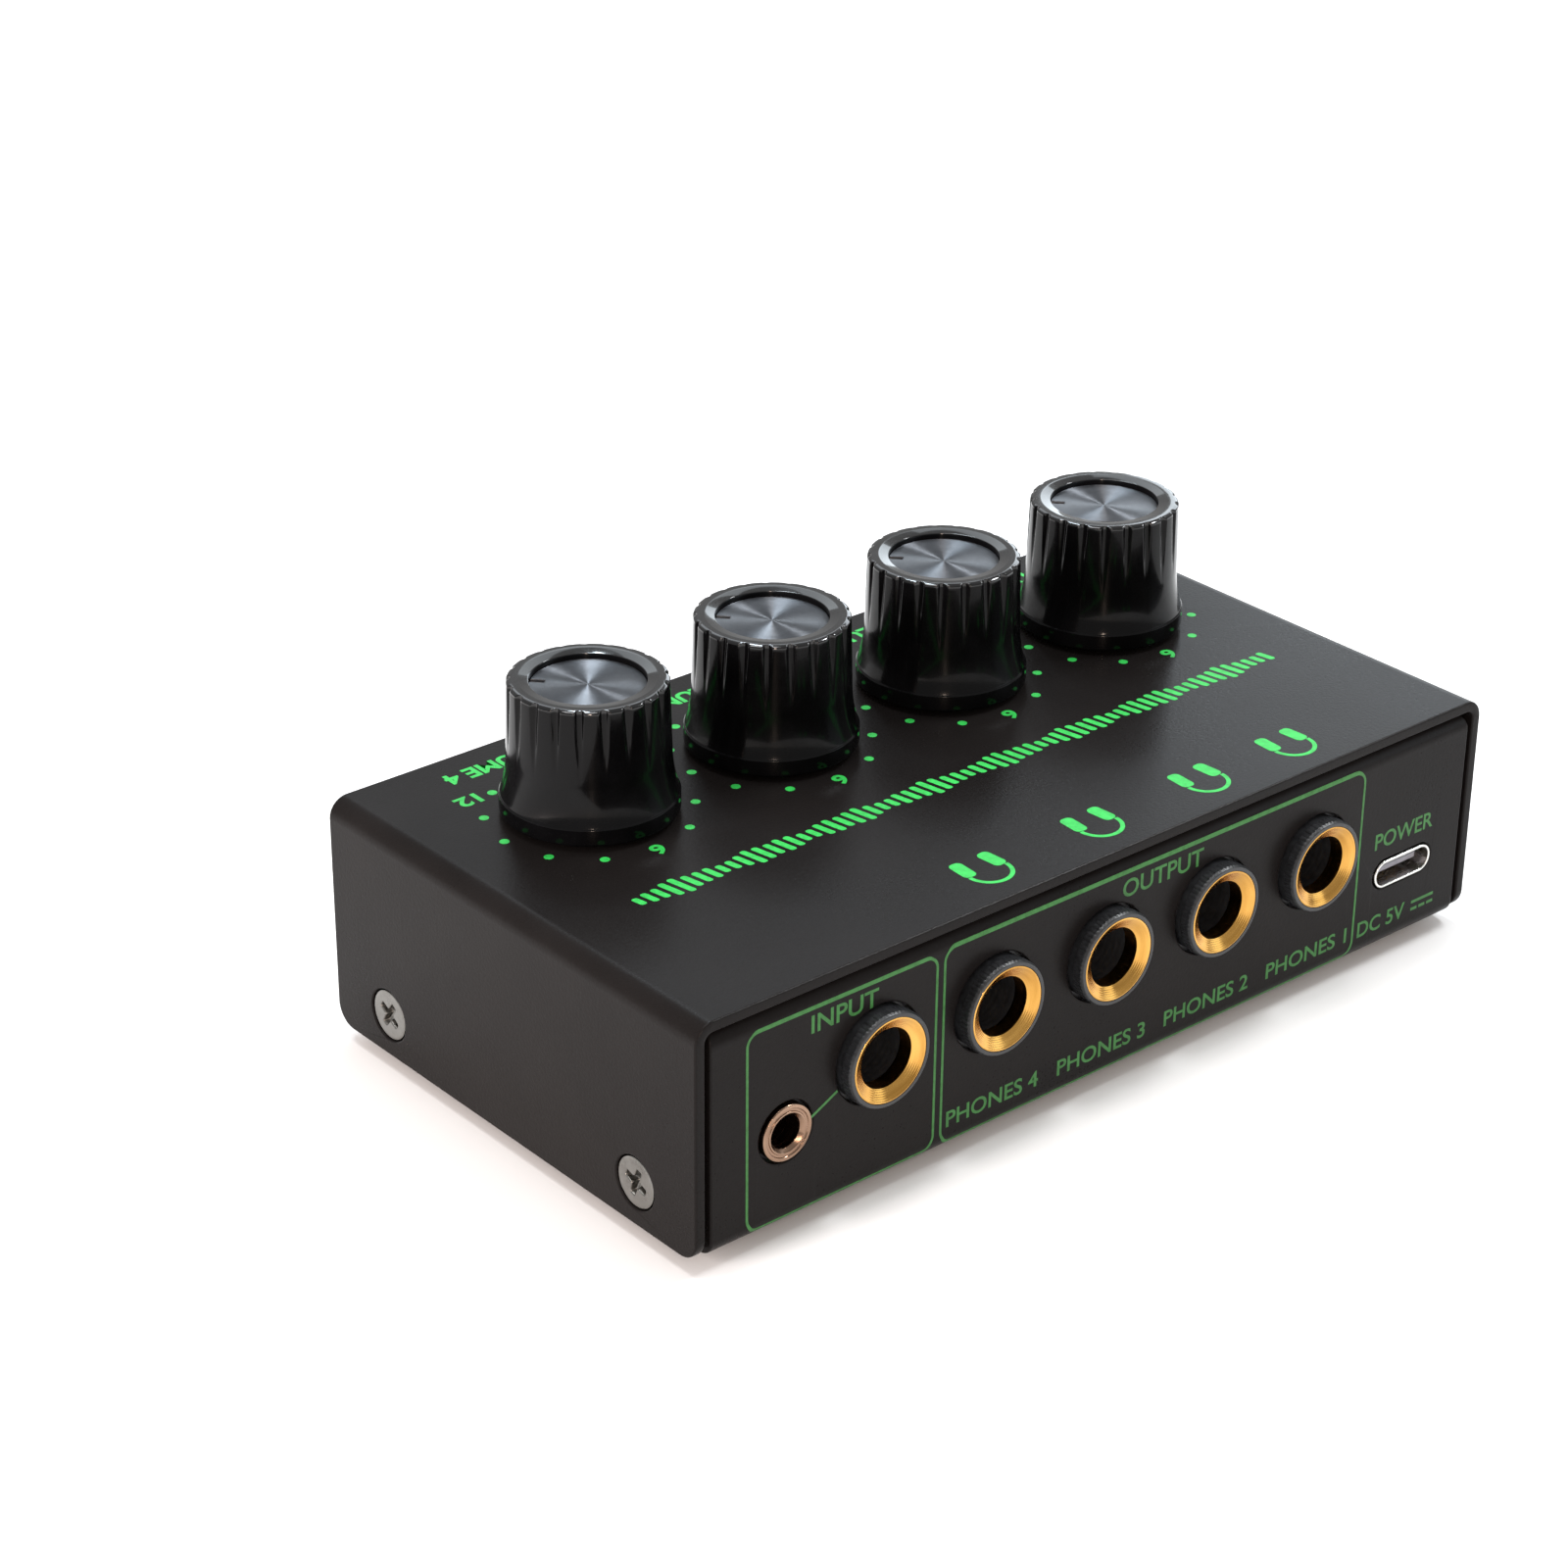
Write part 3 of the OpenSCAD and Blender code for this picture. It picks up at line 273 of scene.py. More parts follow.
# mesh helpers: a skin is (points, faces); faces are lists of point numbers
def gridSkin(rows, closedRows=False, startPole=None, endPole=None):
    # rows (m, n, 3), each closed round its n points: squares between neighbouring rows, fans to the poles
    m, n = rows.shape[:2]
    points = [rows.reshape(-1, 3)]
    i = np.arange(m if closedRows else m - 1)[:, None] * n
    j = np.arange(n)[None, :]
    across, beyond = (j + 1) % n, (i + n) % (m * n)
    faces = np.stack([i + j, i + across, beyond + across, beyond + j], -1).reshape(-1, 4).tolist()
    for pole, first in ((startPole, 0), (endPole, (m - 1) * n)):
        if pole is not None:
            tip = sum(len(p) for p in points)
            points.append(np.array([pole], float))
            faces += np.stack([first + j[0], first + across[0], np.full(n, tip)], -1).tolist()
    return np.concatenate(points), faces


def joined(skins):
    # skins put together: each one's faces count on from the points before it
    points, faces, start = [], [], 0
    for p, f in skins:
        points.append(p)
        faces += [[start + k for k in face] for face in f]
        start += len(p)
    return np.concatenate(points), faces


def addPiece(name, skins, finish, body, stands=(), sharp=38):
    # skins in mm become one closed mesh in metres, facing outwards, smooth except over sharp edges
    points, faces = joined(skins)
    mesh = bpy.data.meshes.new(name)
    mesh.from_pydata((points * mm).tolist(), [], faces)
    work = bmesh.new()
    work.from_mesh(mesh)
    bmesh.ops.remove_doubles(work, verts=work.verts, dist=0.5e-6)
    bmesh.ops.dissolve_degenerate(work, edges=work.edges, dist=0.2e-6)
    bmesh.ops.recalc_face_normals(work, faces=work.faces)
    work.to_mesh(mesh)
    work.free()
    mesh.shade_smooth()
    mesh.set_sharp_from_angle(angle=math.radians(sharp))
    mesh.materials.append(finish)
    piece = bpy.data.objects.new(name, mesh)
    bpy.context.scene.collection.objects.link(piece)
    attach(piece, body)
    if stands:
        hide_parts(*stands)
    return piece


def weighted(piece):
    # keeps big flats flat beside their rounded edges
    tidy = piece.modifiers.new("flatFaces", "WEIGHTED_NORMAL")
    tidy.keep_sharp = True
    return piece


def arc(centreU, centreV, radius, start, end, steps):
    # points on a circle's arc, angles in quarter turns
    a = np.linspace(start, end, steps + 1) * half
    return np.stack([centreU + radius * np.cos(a), centreV + radius * np.sin(a)], 1)


def roundedPath(u0, v0, u1, v1, radius, steps=8):
    # a rectangle with round corners, anticlockwise
    r = radius
    return np.concatenate([arc(u1 - r, v0 + r, r, -1, 0, steps), arc(u1 - r, v1 - r, r, 0, 1, steps),
                           arc(u0 + r, v1 - r, r, 1, 2, steps), arc(u0 + r, v0 + r, r, 2, 3, steps)])


def circlePath(u, v, radius, steps=64):
    return arc(u, v, radius, 0, 4, steps)[:-1]


def latheSkin(profile, turns=96, place=None, closed=False):
    # a profile of (radius, height) carried round Z; a radius of 0 at either end closes it in a pole
    profile = np.asarray(profile, float)
    a = np.linspace(0, 2 * math.pi, turns, endpoint=False)
    poles = [(0, 0, profile[k, 1]) if profile[k, 0] < 1e-6 else None for k in (0, -1)]
    ring = profile[(1 if poles[0] else 0):(len(profile) - 1 if poles[1] else len(profile))]
    rows = np.stack([ring[:, :1] * np.cos(a), ring[:, :1] * np.sin(a), np.repeat(ring[:, 1:], turns, 1)], -1)
    points, faces = gridSkin(rows, closed, *poles)
    return (place(points) if place else points), faces


def filleted(corners, radii, steps=5):
    # a chain of straight runs whose inner corners are rounded; the radius is cut down where a run is short
    p = np.asarray(corners, float)
    out = [p[:1]]
    for i in range(1, len(p) - 1):
        a, b = p[i - 1] - p[i], p[i + 1] - p[i]
        la, lb = np.linalg.norm(a), np.linalg.norm(b)
        a, b = a / la, b / lb
        corner = math.acos(max(-1.0, min(1.0, float(a @ b))))
        back = min(radii[i] / max(math.tan(corner / 2), 1e-6), 0.48 * la, 0.48 * lb)
        if radii[i] <= 0 or corner > math.pi - 0.02:
            out.append(p[i:i + 1])
            continue
        t = np.linspace(0, 1, steps + 1)[:, None]
        out.append((1 - t) ** 2 * (p[i] + a * back) + 2 * t * (1 - t) * p[i] + t ** 2 * (p[i] + b * back))
    out.append(p[-1:])
    return np.concatenate(out)


def plateSkin(loops, thickness, edge=0.0, cutsAt=()):
    # a flat plate in (u, v) with w through its thickness, its cut edges rounded, sliced at the given u
    blank = bpy.data.curves.new("blank", "CURVE")
    blank.dimensions, blank.fill_mode = "2D", "BOTH"
    blank.extrude, blank.bevel_depth, blank.bevel_resolution = thickness / 2 - edge, edge, 2
    blank.offset = -edge
    for loop in loops:
        spline = blank.splines.new("POLY")
        spline.points.add(len(loop) - 1)
        flat = np.column_stack([loop, np.zeros(len(loop)), np.ones(len(loop))])
        spline.points.foreach_set("co", flat.ravel())
        spline.use_cyclic_u = True
    return meshSkin(blank, cutsAt)


def meshSkin(curve, cutsAt=()):
    # a curve or text as plain points and faces, doubles merged
    holder = bpy.data.objects.new("blank", curve)
    bpy.context.scene.collection.objects.link(holder)
    mesh = bpy.data.meshes.new_from_object(holder.evaluated_get(bpy.context.evaluated_depsgraph_get()))
    work = bmesh.new()
    work.from_mesh(mesh)
    bmesh.ops.remove_doubles(work, verts=work.verts, dist=0.0015)
    for cut in cutsAt:
        bmesh.ops.bisect_plane(work, geom=work.verts[:] + work.edges[:] + work.faces[:], dist=1e-5,
                               plane_co=(cut, 0, 0), plane_no=(1, 0, 0))
    work.to_mesh(mesh)
    work.free()
    points = np.empty(len(mesh.vertices) * 3)
    mesh.vertices.foreach_get("co", points)
    faces = [list(p.vertices) for p in mesh.polygons]
    bpy.data.objects.remove(holder)
    bpy.data.curves.remove(curve)
    bpy.data.meshes.remove(mesh)
    return points.reshape(-1, 3), faces


# sheet metal: a flat blank folded along a path of straight runs and quarter bends
class Fold:
    # the middle line of a folded sheet in its own plane: straight, bend, straight, always the same way round

    def __init__(self, start, run, outward, straights, outerRadius, thickness):
        self.radius, self.thickness = outerRadius - thickness / 2, thickness
        self.bendLength = self.radius * half
        p, t, n, s = (np.array(x, float) for x in (start, run, outward, 0))
        rows = []
        for k, length in enumerate(straights):
            rows.append((float(s), p, t, n, 0.0))
            p, s = p + t * length, s + length
            if k < len(straights) - 1:
                rows.append((float(s), p, t, n, 1.0))
                p, t, n, s = p - self.radius * n + self.radius * t, -n, t, s + self.bendLength
        self.length = float(s)
        self.starts = np.array([r[0] for r in rows])
        self.p, self.t, self.n = (np.array([r[k] for r in rows]) for k in (1, 2, 3))
        self.bent = np.array([r[4] for r in rows])

    def cuts(self, steps=7):
        return [float(s + self.bendLength * k / steps) for s, b in zip(self.starts, self.bent) if b
                for k in range(steps + 1)]

    def at(self, s, w):
        # in a straight run: start + along * run + w * outward; in a bend the outward turns by along / radius
        i = np.clip(np.searchsorted(self.starts, s, side="right") - 1, 0, len(self.starts) - 1)
        along, bent = (s - self.starts[i])[:, None], self.bent[i][:, None]
        p, t, n, w = self.p[i], self.t[i], self.n[i], w[:, None]
        straight = p + along * t + w * n
        angle = along / self.radius
        turned = p - self.radius * n + (self.radius + w) * (np.cos(angle) * n + np.sin(angle) * t)
        return np.where(bent > 0.5, turned, straight)


# case
case = {"sheet": 1.2, "edge": 0.22, "coverBend": 2.2, "trayBend": 1.8, "flangeCorner": 2.5, "endGap": 0.6,
        "lipGap": 0.3, "lip": 5.0, "lipStep": 1.4, "bushHole": 3.65, "headRoom": 2.9, "screwUp": 4.8,
        "screwIn": 9.3, "tabWidth": 12.0, "tabOver": 4.2, "tapHole": 1.5}


def span(node):
    # the low and high corners of a node, in mm
    low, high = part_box(node)
    return np.array(low) / mm, np.array(high) / mm


def middleOf(node):
    return sum(span(node)) / 2


caseLow, caseHigh = span("top_cover")
halfWidth, frontY, backY, topZ, footZ = caseHigh[0], caseLow[1], caseHigh[1], caseHigh[2], caseLow[2]
knobSpots = {n: middleOf(f"knob_{n}") for n in range(1, 5)}
knobY = float(knobSpots[1][1])
screwSpots = [frontY + case["screwIn"], backY - case["screwIn"]]
trayTop, trayHalf = topZ - case["sheet"] - case["lipGap"], halfWidth - case["sheet"] - case["endGap"]
bodyOfKnob = {n: f"volume_{n}" for n in knobSpots}


def foldCover():
    # three straight runs with two bends between them, its holes cut in the flat blank
    t, r = case["sheet"], case["coverBend"]
    flange, top = topZ - footZ - r, 2 * (halfWidth - r)
    fold = Fold((-halfWidth + t / 2, footZ), (0, 1), (-1, 0), [flange, top, flange], r, t)
    topStart = flange + fold.bendLength
    loops = [roundedPath(0, frontY, fold.length, backY, case["flangeCorner"], 10)]
    loops += [circlePath(topStart + spot[0] + halfWidth - r, knobY, case["bushHole"])
              for spot in knobSpots.values()]
    for s in (case["screwUp"], fold.length - case["screwUp"]):
        loops += [circlePath(s, y, case["headRoom"]) for y in screwSpots]
    points, faces = plateSkin(loops, t, case["edge"], fold.cuts())
    folded = fold.at(points[:, 0], points[:, 2])
    return np.column_stack([folded[:, 0], points[:, 1], folded[:, 1]]), faces


weighted(addPiece("coverShell", [foldCover()], finishes["black_powder_coat"], "amplifier",
                  ["top_cover"], 30))
print("cover folded")

trayFold = Fold((frontY + case["lip"], trayTop - case["sheet"] / 2), (-1, 0), (0, 1),
                [case["lip"] - case["trayBend"], trayTop - footZ - 2 * case["trayBend"],
                 backY - frontY - 2 * case["trayBend"], trayTop - footZ - 2 * case["trayBend"],
                 case["lip"] - case["trayBend"]], case["trayBend"], case["sheet"])
panelStart = float(trayFold.starts[2])
panelTopZ = trayTop - case["trayBend"]
floorStart = float(trayFold.starts[4])


def downPanel(z):
    # how far along the blank a height on the jack panel lies
    return panelStart + panelTopZ - z


def ontoPanel(points):
    # (x, height, w) laid on the outside of the jack panel, following its bends
    flat = trayFold.at(downPanel(points[:, 1]), case["sheet"] / 2 + points[:, 2])
    return np.column_stack([points[:, 0], flat])


jacks = {"input_jack": "input_jack_housing"}
jacks.update({f"phones_jack_{n}": f"phones_jack_housing_{n}" for n in range(1, 5)})
jackSpots = {name: middleOf(node.replace("housing", "ring")) for name, node in jacks.items()}
miniSpot, usbSpot = middleOf("mini_jack_ring"), middleOf("usb_c_shell")
panelHoles = {"jack": 5.4, "mini": 3.35, "usbWide": 9.24, "usbHigh": 3.56, "spigot": 2.03}


def foldTray():
    # lip, panel, floor, back, lip: the outline of one quarter mirrored both ways, holes cut in the flat
    h, c, f = panelHoles, case, trayFold
    narrow, step, bend = trayHalf - c["lipStep"], c["lipStep"], f.bendLength
    a = np.linspace(0, half, 9)
    corner = np.stack([panelStart - bend * np.cos(a), narrow + step * np.sin(a)], 1)   # from lip out to panel
    lipEnd = np.array([[0.0, narrow - 1.5], [0.45, narrow - 0.45], [1.5, narrow]])
    side = np.concatenate([lipEnd, corner])
    far = side[::-1] * [-1, 1] + [f.length, 0]
    outline = np.concatenate([side, far, (far * [1, -1])[::-1], (side * [1, -1])[::-1]])
    loops = [outline]
    loops += [circlePath(downPanel(s[2]), s[0], h["jack"], 80) for s in jackSpots.values()]
    loops.append(circlePath(downPanel(miniSpot[2]), miniSpot[0], h["mini"]))
    r = h["usbHigh"] / 2
    loops.append(roundedPath(downPanel(usbSpot[2]) - r, usbSpot[0] - h["usbWide"] / 2,
                             downPanel(usbSpot[2]) + r, usbSpot[0] + h["usbWide"] / 2, r - 0.001, 12))
    spots = standoffSpots()
    loops += [circlePath(floorStart + y - frontY - c["trayBend"], x, h["spigot"], 40) for x, y in spots]
    points, faces = plateSkin(loops, c["sheet"], c["edge"], f.cuts())
    folded = f.at(points[:, 0], points[:, 2])
    return np.column_stack([points[:, 1], folded]), faces


def standoffSpots():
    # the middles of the four standoffs, from the corners that their points cluster in
    mesh = frame["nodes"]["standoffs"].data
    co = np.empty(len(mesh.vertices) * 3)
    mesh.vertices.foreach_get("co", co)
    co = co.reshape(-1, 3)[:, :2] / mm
    middle = (co.min(0) + co.max(0)) / 2
    spots = []
    for sideX in (-1, 1):
        for sideY in (-1, 1):
            part = co[((co[:, 0] - middle[0]) * sideX > 0) & ((co[:, 1] - middle[1]) * sideY > 0)]
            spots.append((part.min(0) + part.max(0)) / 2)
    return spots


def foldTab(side, y):
    # floor to upright: a short blank with one bend, and the hole that takes the case screw
    c = case
    face = halfWidth - c["sheet"] - 0.03
    upright = c["screwUp"] + c["tabOver"] - c["trayBend"]
    fold = Fold((face - c["trayBend"] - 0.6, footZ + c["sheet"] / 2), (1, 0), (0, -1), [0.6, upright],
                c["trayBend"], c["sheet"])
    hole = float(fold.starts[2]) + c["screwUp"] - c["trayBend"]
    loops = [roundedPath(0, y - c["tabWidth"] / 2, fold.length, y + c["tabWidth"] / 2, 0.4),
             circlePath(hole, y, c["tapHole"], 32)]
    points, faces = plateSkin(loops, c["sheet"], 0.12, fold.cuts())
    folded = fold.at(points[:, 0], points[:, 2])
    return np.column_stack([side * folded[:, 0], points[:, 1], folded[:, 1]]), faces


weighted(addPiece("trayShell", [foldTray()] + [foldTab(s, y) for s in (-1, 1) for y in screwSpots],
                  finishes["black_powder_coat"], "amplifier", ["chassis_tray"], 30))
print("tray folded")


# knobs
knob = {"skirt": 9.3, "band": 1.8, "ledge": 0.15, "flare": 4.6, "gripLow": 8.45, "gripTop": 8.25,
        "rimWide": 0.6, "rimHigh": 0.3, "height": 14.4, "flutes": 21, "fluteDepth": 0.45, "fluteRadius": 0.46,
        "perFlute": 22, "soft": 0.035, "disc": 5.95, "discThick": 0.4, "sink": 0.8, "slopeWide": 1.1,
        "slopeFall": 0.2, "hollow": 7.3, "hollowUp": 4.4, "rest": 138.0, "notchLong": 1.5, "notchHalf": 0.3,
        "notchDeep": 0.34, "notchTurn": 0.16, "groove": 0.24, "grooveDeep": 0.0016, "fluteOut": 0.12,
        "fluteFrom": 7.0}


def knobProfile():
    # outline from the middle of the hollow, under the skirt, up flare and grip, over the rim, to the seat
    k = knob
    t = np.linspace(0, 1, 15)
    foot = k["skirt"] - k["ledge"]
    flare = np.stack([k["gripLow"] + (foot - k["gripLow"]) * (1 - t) ** 2,
                      k["band"] + k["ledge"] + k["flare"] * t], 1)
    low = filleted([[0, k["hollowUp"]], [k["hollow"], k["hollowUp"]], [k["hollow"], 0], [k["skirt"], 0],
                    [k["skirt"], k["band"]], flare[0], flare[1]], [0, 0.3, 0.2, 0.28, 0.12, 0.12, 0], 4)[:-1]
    grip = np.linspace(flare[-1], [k["gripTop"], k["height"] - k["rimHigh"]], 22)[1:-1]
    rim = arc(0, 0, 1, 0, 1, 9) * [k["rimWide"], k["rimHigh"]]
    rim += [k["gripTop"] - k["rimWide"], k["height"] - k["rimHigh"]]
    well, floor = k["disc"] + 0.03, k["height"] - k["sink"] - k["discThick"]
    seat = filleted([rim[-1], [k["disc"] + k["slopeWide"], k["height"] - 0.02],
                     [well, k["height"] - k["slopeFall"]], [well, floor], [0, floor]],
                    [0, 0.6, 0.09, 0.05, 0], 6)[1:]
    return np.concatenate([low, flare[1:], grip, rim, seat])


def fluteAngles():
    # angles round the knob, closer together about each flute, whose middle is at 0 of its share
    k = knob
    u = np.linspace(-1, 1, k["perFlute"] + 1)[:-1]
    share = math.pi / k["flutes"] * np.sign(u) * (0.30 * np.abs(u) + 0.70 * np.abs(u) ** 2.2)
    middles = (np.arange(k["flutes"]) + 0.5) * 2 * math.pi / k["flutes"]
    return (middles[:, None] + share[None, :]).ravel(), np.tile(share, k["flutes"])


def knobSkin(number):
    # radius = the outline's, or the near side of a leaning round cutter if that is less, blended softly
    k = knob
    profile = knobProfile()
    angles, off = fluteAngles()
    radius, height = profile[:, :1], profile[:, 1:]
    start = k["band"] + k["ledge"] + k["flare"] * 0.9
    up = np.clip((height - start) / (k["height"] - start), 0, 1)
    grip = np.interp(height, [start, k["height"] - k["rimHigh"]], [k["gripLow"], k["gripTop"]])
    middle = grip - (k["fluteDepth"] + k["fluteOut"]) * up + k["fluteOut"] + k["fluteRadius"]
    reach = middle * np.sin(off)[None, :]
    inside = k["fluteRadius"] ** 2 - reach ** 2
    cutter = np.where(inside > 0, middle * np.cos(off)[None, :] - np.sqrt(np.maximum(inside, 0)), 99.0)
    cutter = np.where(inside > 0, cutter, middle + 3 * np.abs(reach))
    gap = (cutter - radius) / k["soft"]
    soft = radius - k["soft"] * np.log1p(np.exp(-np.clip(gap, -40, 40)))      # smooth minimum of the two
    outer = (radius > k["fluteFrom"]) & (height > start - 0.5)
    shaped = np.where(outer, np.minimum(soft, radius), radius * np.ones_like(cutter))
    turn = angles - half - math.radians(k["rest"])
    rows = np.stack([shaped * np.cos(turn), shaped * np.sin(turn), np.repeat(height, len(turn), 1)], -1)
    points, faces = gridSkin(rows[1:-1], False, (0, 0, profile[0, 1]), (0, 0, profile[-1, 1]))
    return points + [knobSpots[number][0], knobY, span(f"knob_{number}")[0][2]], faces


def discSkin(number):
    # a turned disc: height = shallow rings by radius, less a slot at the rim that points along the dial
    k = knob
    x = np.linspace(0, 1, 150)
    edgeTurn = np.linspace(0.4, half, 4)
    r = np.concatenate([0.06 + (k["disc"] - 0.1) * x, k["disc"] - 0.04 + 0.04 * np.sin(edgeTurn)])
    wide = k["notchTurn"]
    a = np.concatenate([np.linspace(-wide, wide, 49), np.linspace(wide, 2 * math.pi - wide, 130)[1:-1]])
    across = r[:, None] * np.sin(a)[None, :]
    ahead = r[:, None] * np.cos(a)[None, :]
    slot = 1 / (1 + np.exp((np.abs(across) - k["notchHalf"]) / 0.018))
    slot = slot / (1 + np.exp((k["disc"] - k["notchLong"] - ahead) / 0.03))
    rings = k["grooveDeep"] * np.cos(2 * math.pi * r / k["groove"])
    edge = -0.06 * np.clip((r - k["disc"] + 0.05) / 0.05, 0, 1) ** 2
    top = k["height"] - k["sink"] + rings[:, None] + edge[:, None] - k["notchDeep"] * slot
    turn = a - half - math.radians(k["rest"])
    rows = np.stack([r[:, None] * np.cos(turn), r[:, None] * np.sin(turn), top], -1)
    under = rows[-1:].copy()
    under[..., 2] = k["height"] - k["sink"] - k["discThick"]
    rows = np.concatenate([rows, under])
    points, faces = gridSkin(rows, False, (0, 0, k["height"] - k["sink"]),
                             (0, 0, k["height"] - k["sink"] - k["discThick"]))
    return points + [knobSpots[number][0], knobY, span(f"knob_{number}")[0][2]], faces


for number in knobSpots:
    addPiece(f"volumeKnob{number}", [knobSkin(number)], finishes["knob_plastic"], bodyOfKnob[number],
             [f"knob_{number}"], 50)
    addPiece(f"knobDisc{number}", [discSkin(number)], finishes["spun_disc"], bodyOfKnob[number],
             [f"knob_cap_{number}"], 50)
print("knobs turned")


# jacks
jack = {"nose": 5.2, "noseFace": 5.0, "proud": 1.8, "ring": 4.6, "ringLong": 8.6, "bore": 3.25, "cone": 0.7,
        "lip": 0.16, "seat": 4.63, "plated": 2.4, "lining": 4.0, "channel": 3.5, "ribs": 64, "ribDeep": 0.07,
        "bodyHalf": 7.3, "bodyUp": 6.6, "bodyDown": 7.2, "bodyLong": 26.0, "bodyPower": 14, "bodyEnd": 0.3,
        "bodyTaper": 0.97, "noseLong": 1.3, "neck": 0.14, "ribFrom": 0.12, "ribRise": 0.3}


def alongY(x, z, y0):
    # turns a lathe's Z into the depth behind y0
    return lambda p: np.column_stack([p[:, 0] + x, p[:, 2] + y0, z - p[:, 1]])


def housingSkin(spot):
    # a tube whose outside goes from a round, finely ribbed nose to a rounded box: each angle's radius is that
    # of the section at its depth, and the inside steps from the ring's seat to the channel
    j = jack
    a = np.linspace(0, 2 * math.pi, 360, endpoint=False)
    c, s = np.cos(a), np.sin(a)
    high, n = np.where(s > 0, j["bodyUp"], j["bodyDown"]), j["bodyPower"]
    boxRadius = ((np.abs(c) / j["bodyHalf"]) ** n + (np.abs(s) / high) ** n) ** (-1 / n)
    ribs = 1 - j["ribDeep"] / j["nose"] * (0.5 + 0.5 * np.cos(j["ribs"] * a)) ** 3
    panel, end = j["proud"] + case["sheet"], j["proud"] + case["sheet"] + j["bodyLong"]
    neck, long = j["nose"] - j["neck"], j["noseLong"]
    out = filleted([[j["seat"], 0.0], [j["noseFace"], 0.0], [j["nose"] - 0.03, 0.35],
                    [j["nose"], long - 0.05], [neck, long], [neck, panel]],
                   [0, 0.12, 0.3, 0.03, 0.03, 0], 6)
    depth = out[:, 1:]
    grow = np.clip((depth - j["ribFrom"]) / j["ribRise"], 0, 1) * np.clip((long - depth) / 0.03, 0, 1)
    nose = out[:, :1] * (1 + (ribs - 1) * grow)
    tapered, rounding = boxRadius * j["bodyTaper"], j["bodyEnd"]
    channel, seat = np.full_like(a, j["channel"]), np.full_like(a, j["seat"])
    radius = np.vstack([nose, tapered, boxRadius, boxRadius, tapered, channel, channel, seat])
    further = [[panel], [panel + rounding], [end - rounding], [end], [end], [j["ringLong"]], [j["ringLong"]]]
    depth = np.concatenate([depth, further])
    y0 = frontY - j["proud"]
    grid = np.stack([spot[0] + radius * c, np.broadcast_to(y0 + depth, radius.shape),
                     spot[2] + radius * s], -1)
    return gridSkin(grid, True)


def ringSkin(spot):
    # gold ring: soft outer edge, a cone with fine tool rings, the plated bore, then a hollow for the lining
    j = jack
    t = np.linspace(0, 1, 26)
    cone = np.stack([j["ring"] - j["lip"] + (j["bore"] - j["ring"] + j["lip"]) * t, j["cone"] * t], 1)
    cone += (0.006 * np.sin(t * 2 * math.pi * 6))[:, None] * [0.66, 0.75]
    inner = j["lining"] + 0.01
    outside = filleted([[inner, j["ringLong"]], [j["ring"], j["ringLong"]], [j["ring"], 0.02],
                        [j["ring"] - j["lip"], 0.0]], [0, 0.1, 0.1, 0], 4)
    inside = filleted([cone[-1], [j["bore"], j["cone"] + 0.12], [j["bore"], j["plated"]],
                       [inner, j["plated"]], [inner, j["ringLong"]]], [0, 0.08, 0.04, 0, 0])
    profile = np.concatenate([outside[:-1], cone, inside[1:-1]])
    return latheSkin(profile, 144, alongY(spot[0], spot[2], frontY - j["proud"]), True)


def liningSkin(spot):
    # black sleeve behind the plated bore: shallow rings, and a step where the plug's tip goes on
    j = jack
    start, end = j["plated"] + 0.02, j["ringLong"]
    depths = np.linspace(start, end - 0.05, 40)
    wavy = j["bore"] + 0.03 * (0.5 + 0.5 * np.sin((depths - start) * 2 * math.pi / 0.7))
    inner = np.column_stack([wavy, depths])
    profile = np.concatenate([[[j["lining"], start]], inner, [[j["bore"], end], [j["lining"], end]]])
    return latheSkin(profile, 96, alongY(spot[0], spot[2], frontY - j["proud"]), True)


for name, node in jacks.items():
    piece, spot = name.replace("_", ""), jackSpots[name]
    addPiece(piece + "Housing", [housingSkin(spot), liningSkin(spot)], finishes["black_nylon"], "amplifier",
             [node], 40)
    addPiece(piece + "Ring", [ringSkin(spot)], finishes["gold_ring"], "amplifier",
             [node.replace("housing", "ring")], 40)

mini = {"ring": 3.05, "bore": 1.8, "boreLong": 2.5, "proud": 0.3, "long": 5.2, "tail": 2.45, "lip": 0.35,
        "cone": 0.4, "sheet": 1.17, "grooveOut": 2.66, "grooveIn": 2.28, "grooveSlope": (0.08, 0.06),
        "grooveDeep": 0.14, "lipStep": 0.02}


def miniRing():
    # small ring: rounded face, a groove round it, a short cone and the bore, with a narrower tail behind
    m = mini
    shoulder = m["proud"] + m["sheet"]
    out, back = m["grooveOut"], m["grooveIn"]
    profile = filleted([[m["bore"], m["long"]], [m["tail"], m["long"]], [m["tail"], shoulder],
                        [m["ring"], shoulder], [m["ring"], 0.0], [out, 0.0],
                        [out - m["grooveSlope"][0], m["grooveDeep"]],
                        [back + m["grooveSlope"][1], m["grooveDeep"]], [back, m["lipStep"]],
                        [m["bore"] + m["lip"], m["lipStep"]], [m["bore"], m["cone"]],
                        [m["bore"], m["boreLong"]]],
                       [0, 0.1, 0.1, 0.05, 0.18, 0.08, 0.04, 0.04, 0.03, 0.05, 0.1, 0], 6)
    return latheSkin(profile, 96, alongY(miniSpot[0], miniSpot[2], frontY - m["proud"]), True)


addPiece("smallJackRing", [miniRing()], finishes["copper_nickel"], "amplifier",
         ["mini_jack_ring"], 40)
print("jacks turned")

# power socket
usb = {"wide": 8.94, "high": 3.26, "wall": 0.3, "long": 7.4, "proud": 0.15, "tongue": 6.69,
       "tongueThick": 0.7, "tongueBack": 1.1, "block": 1.4}


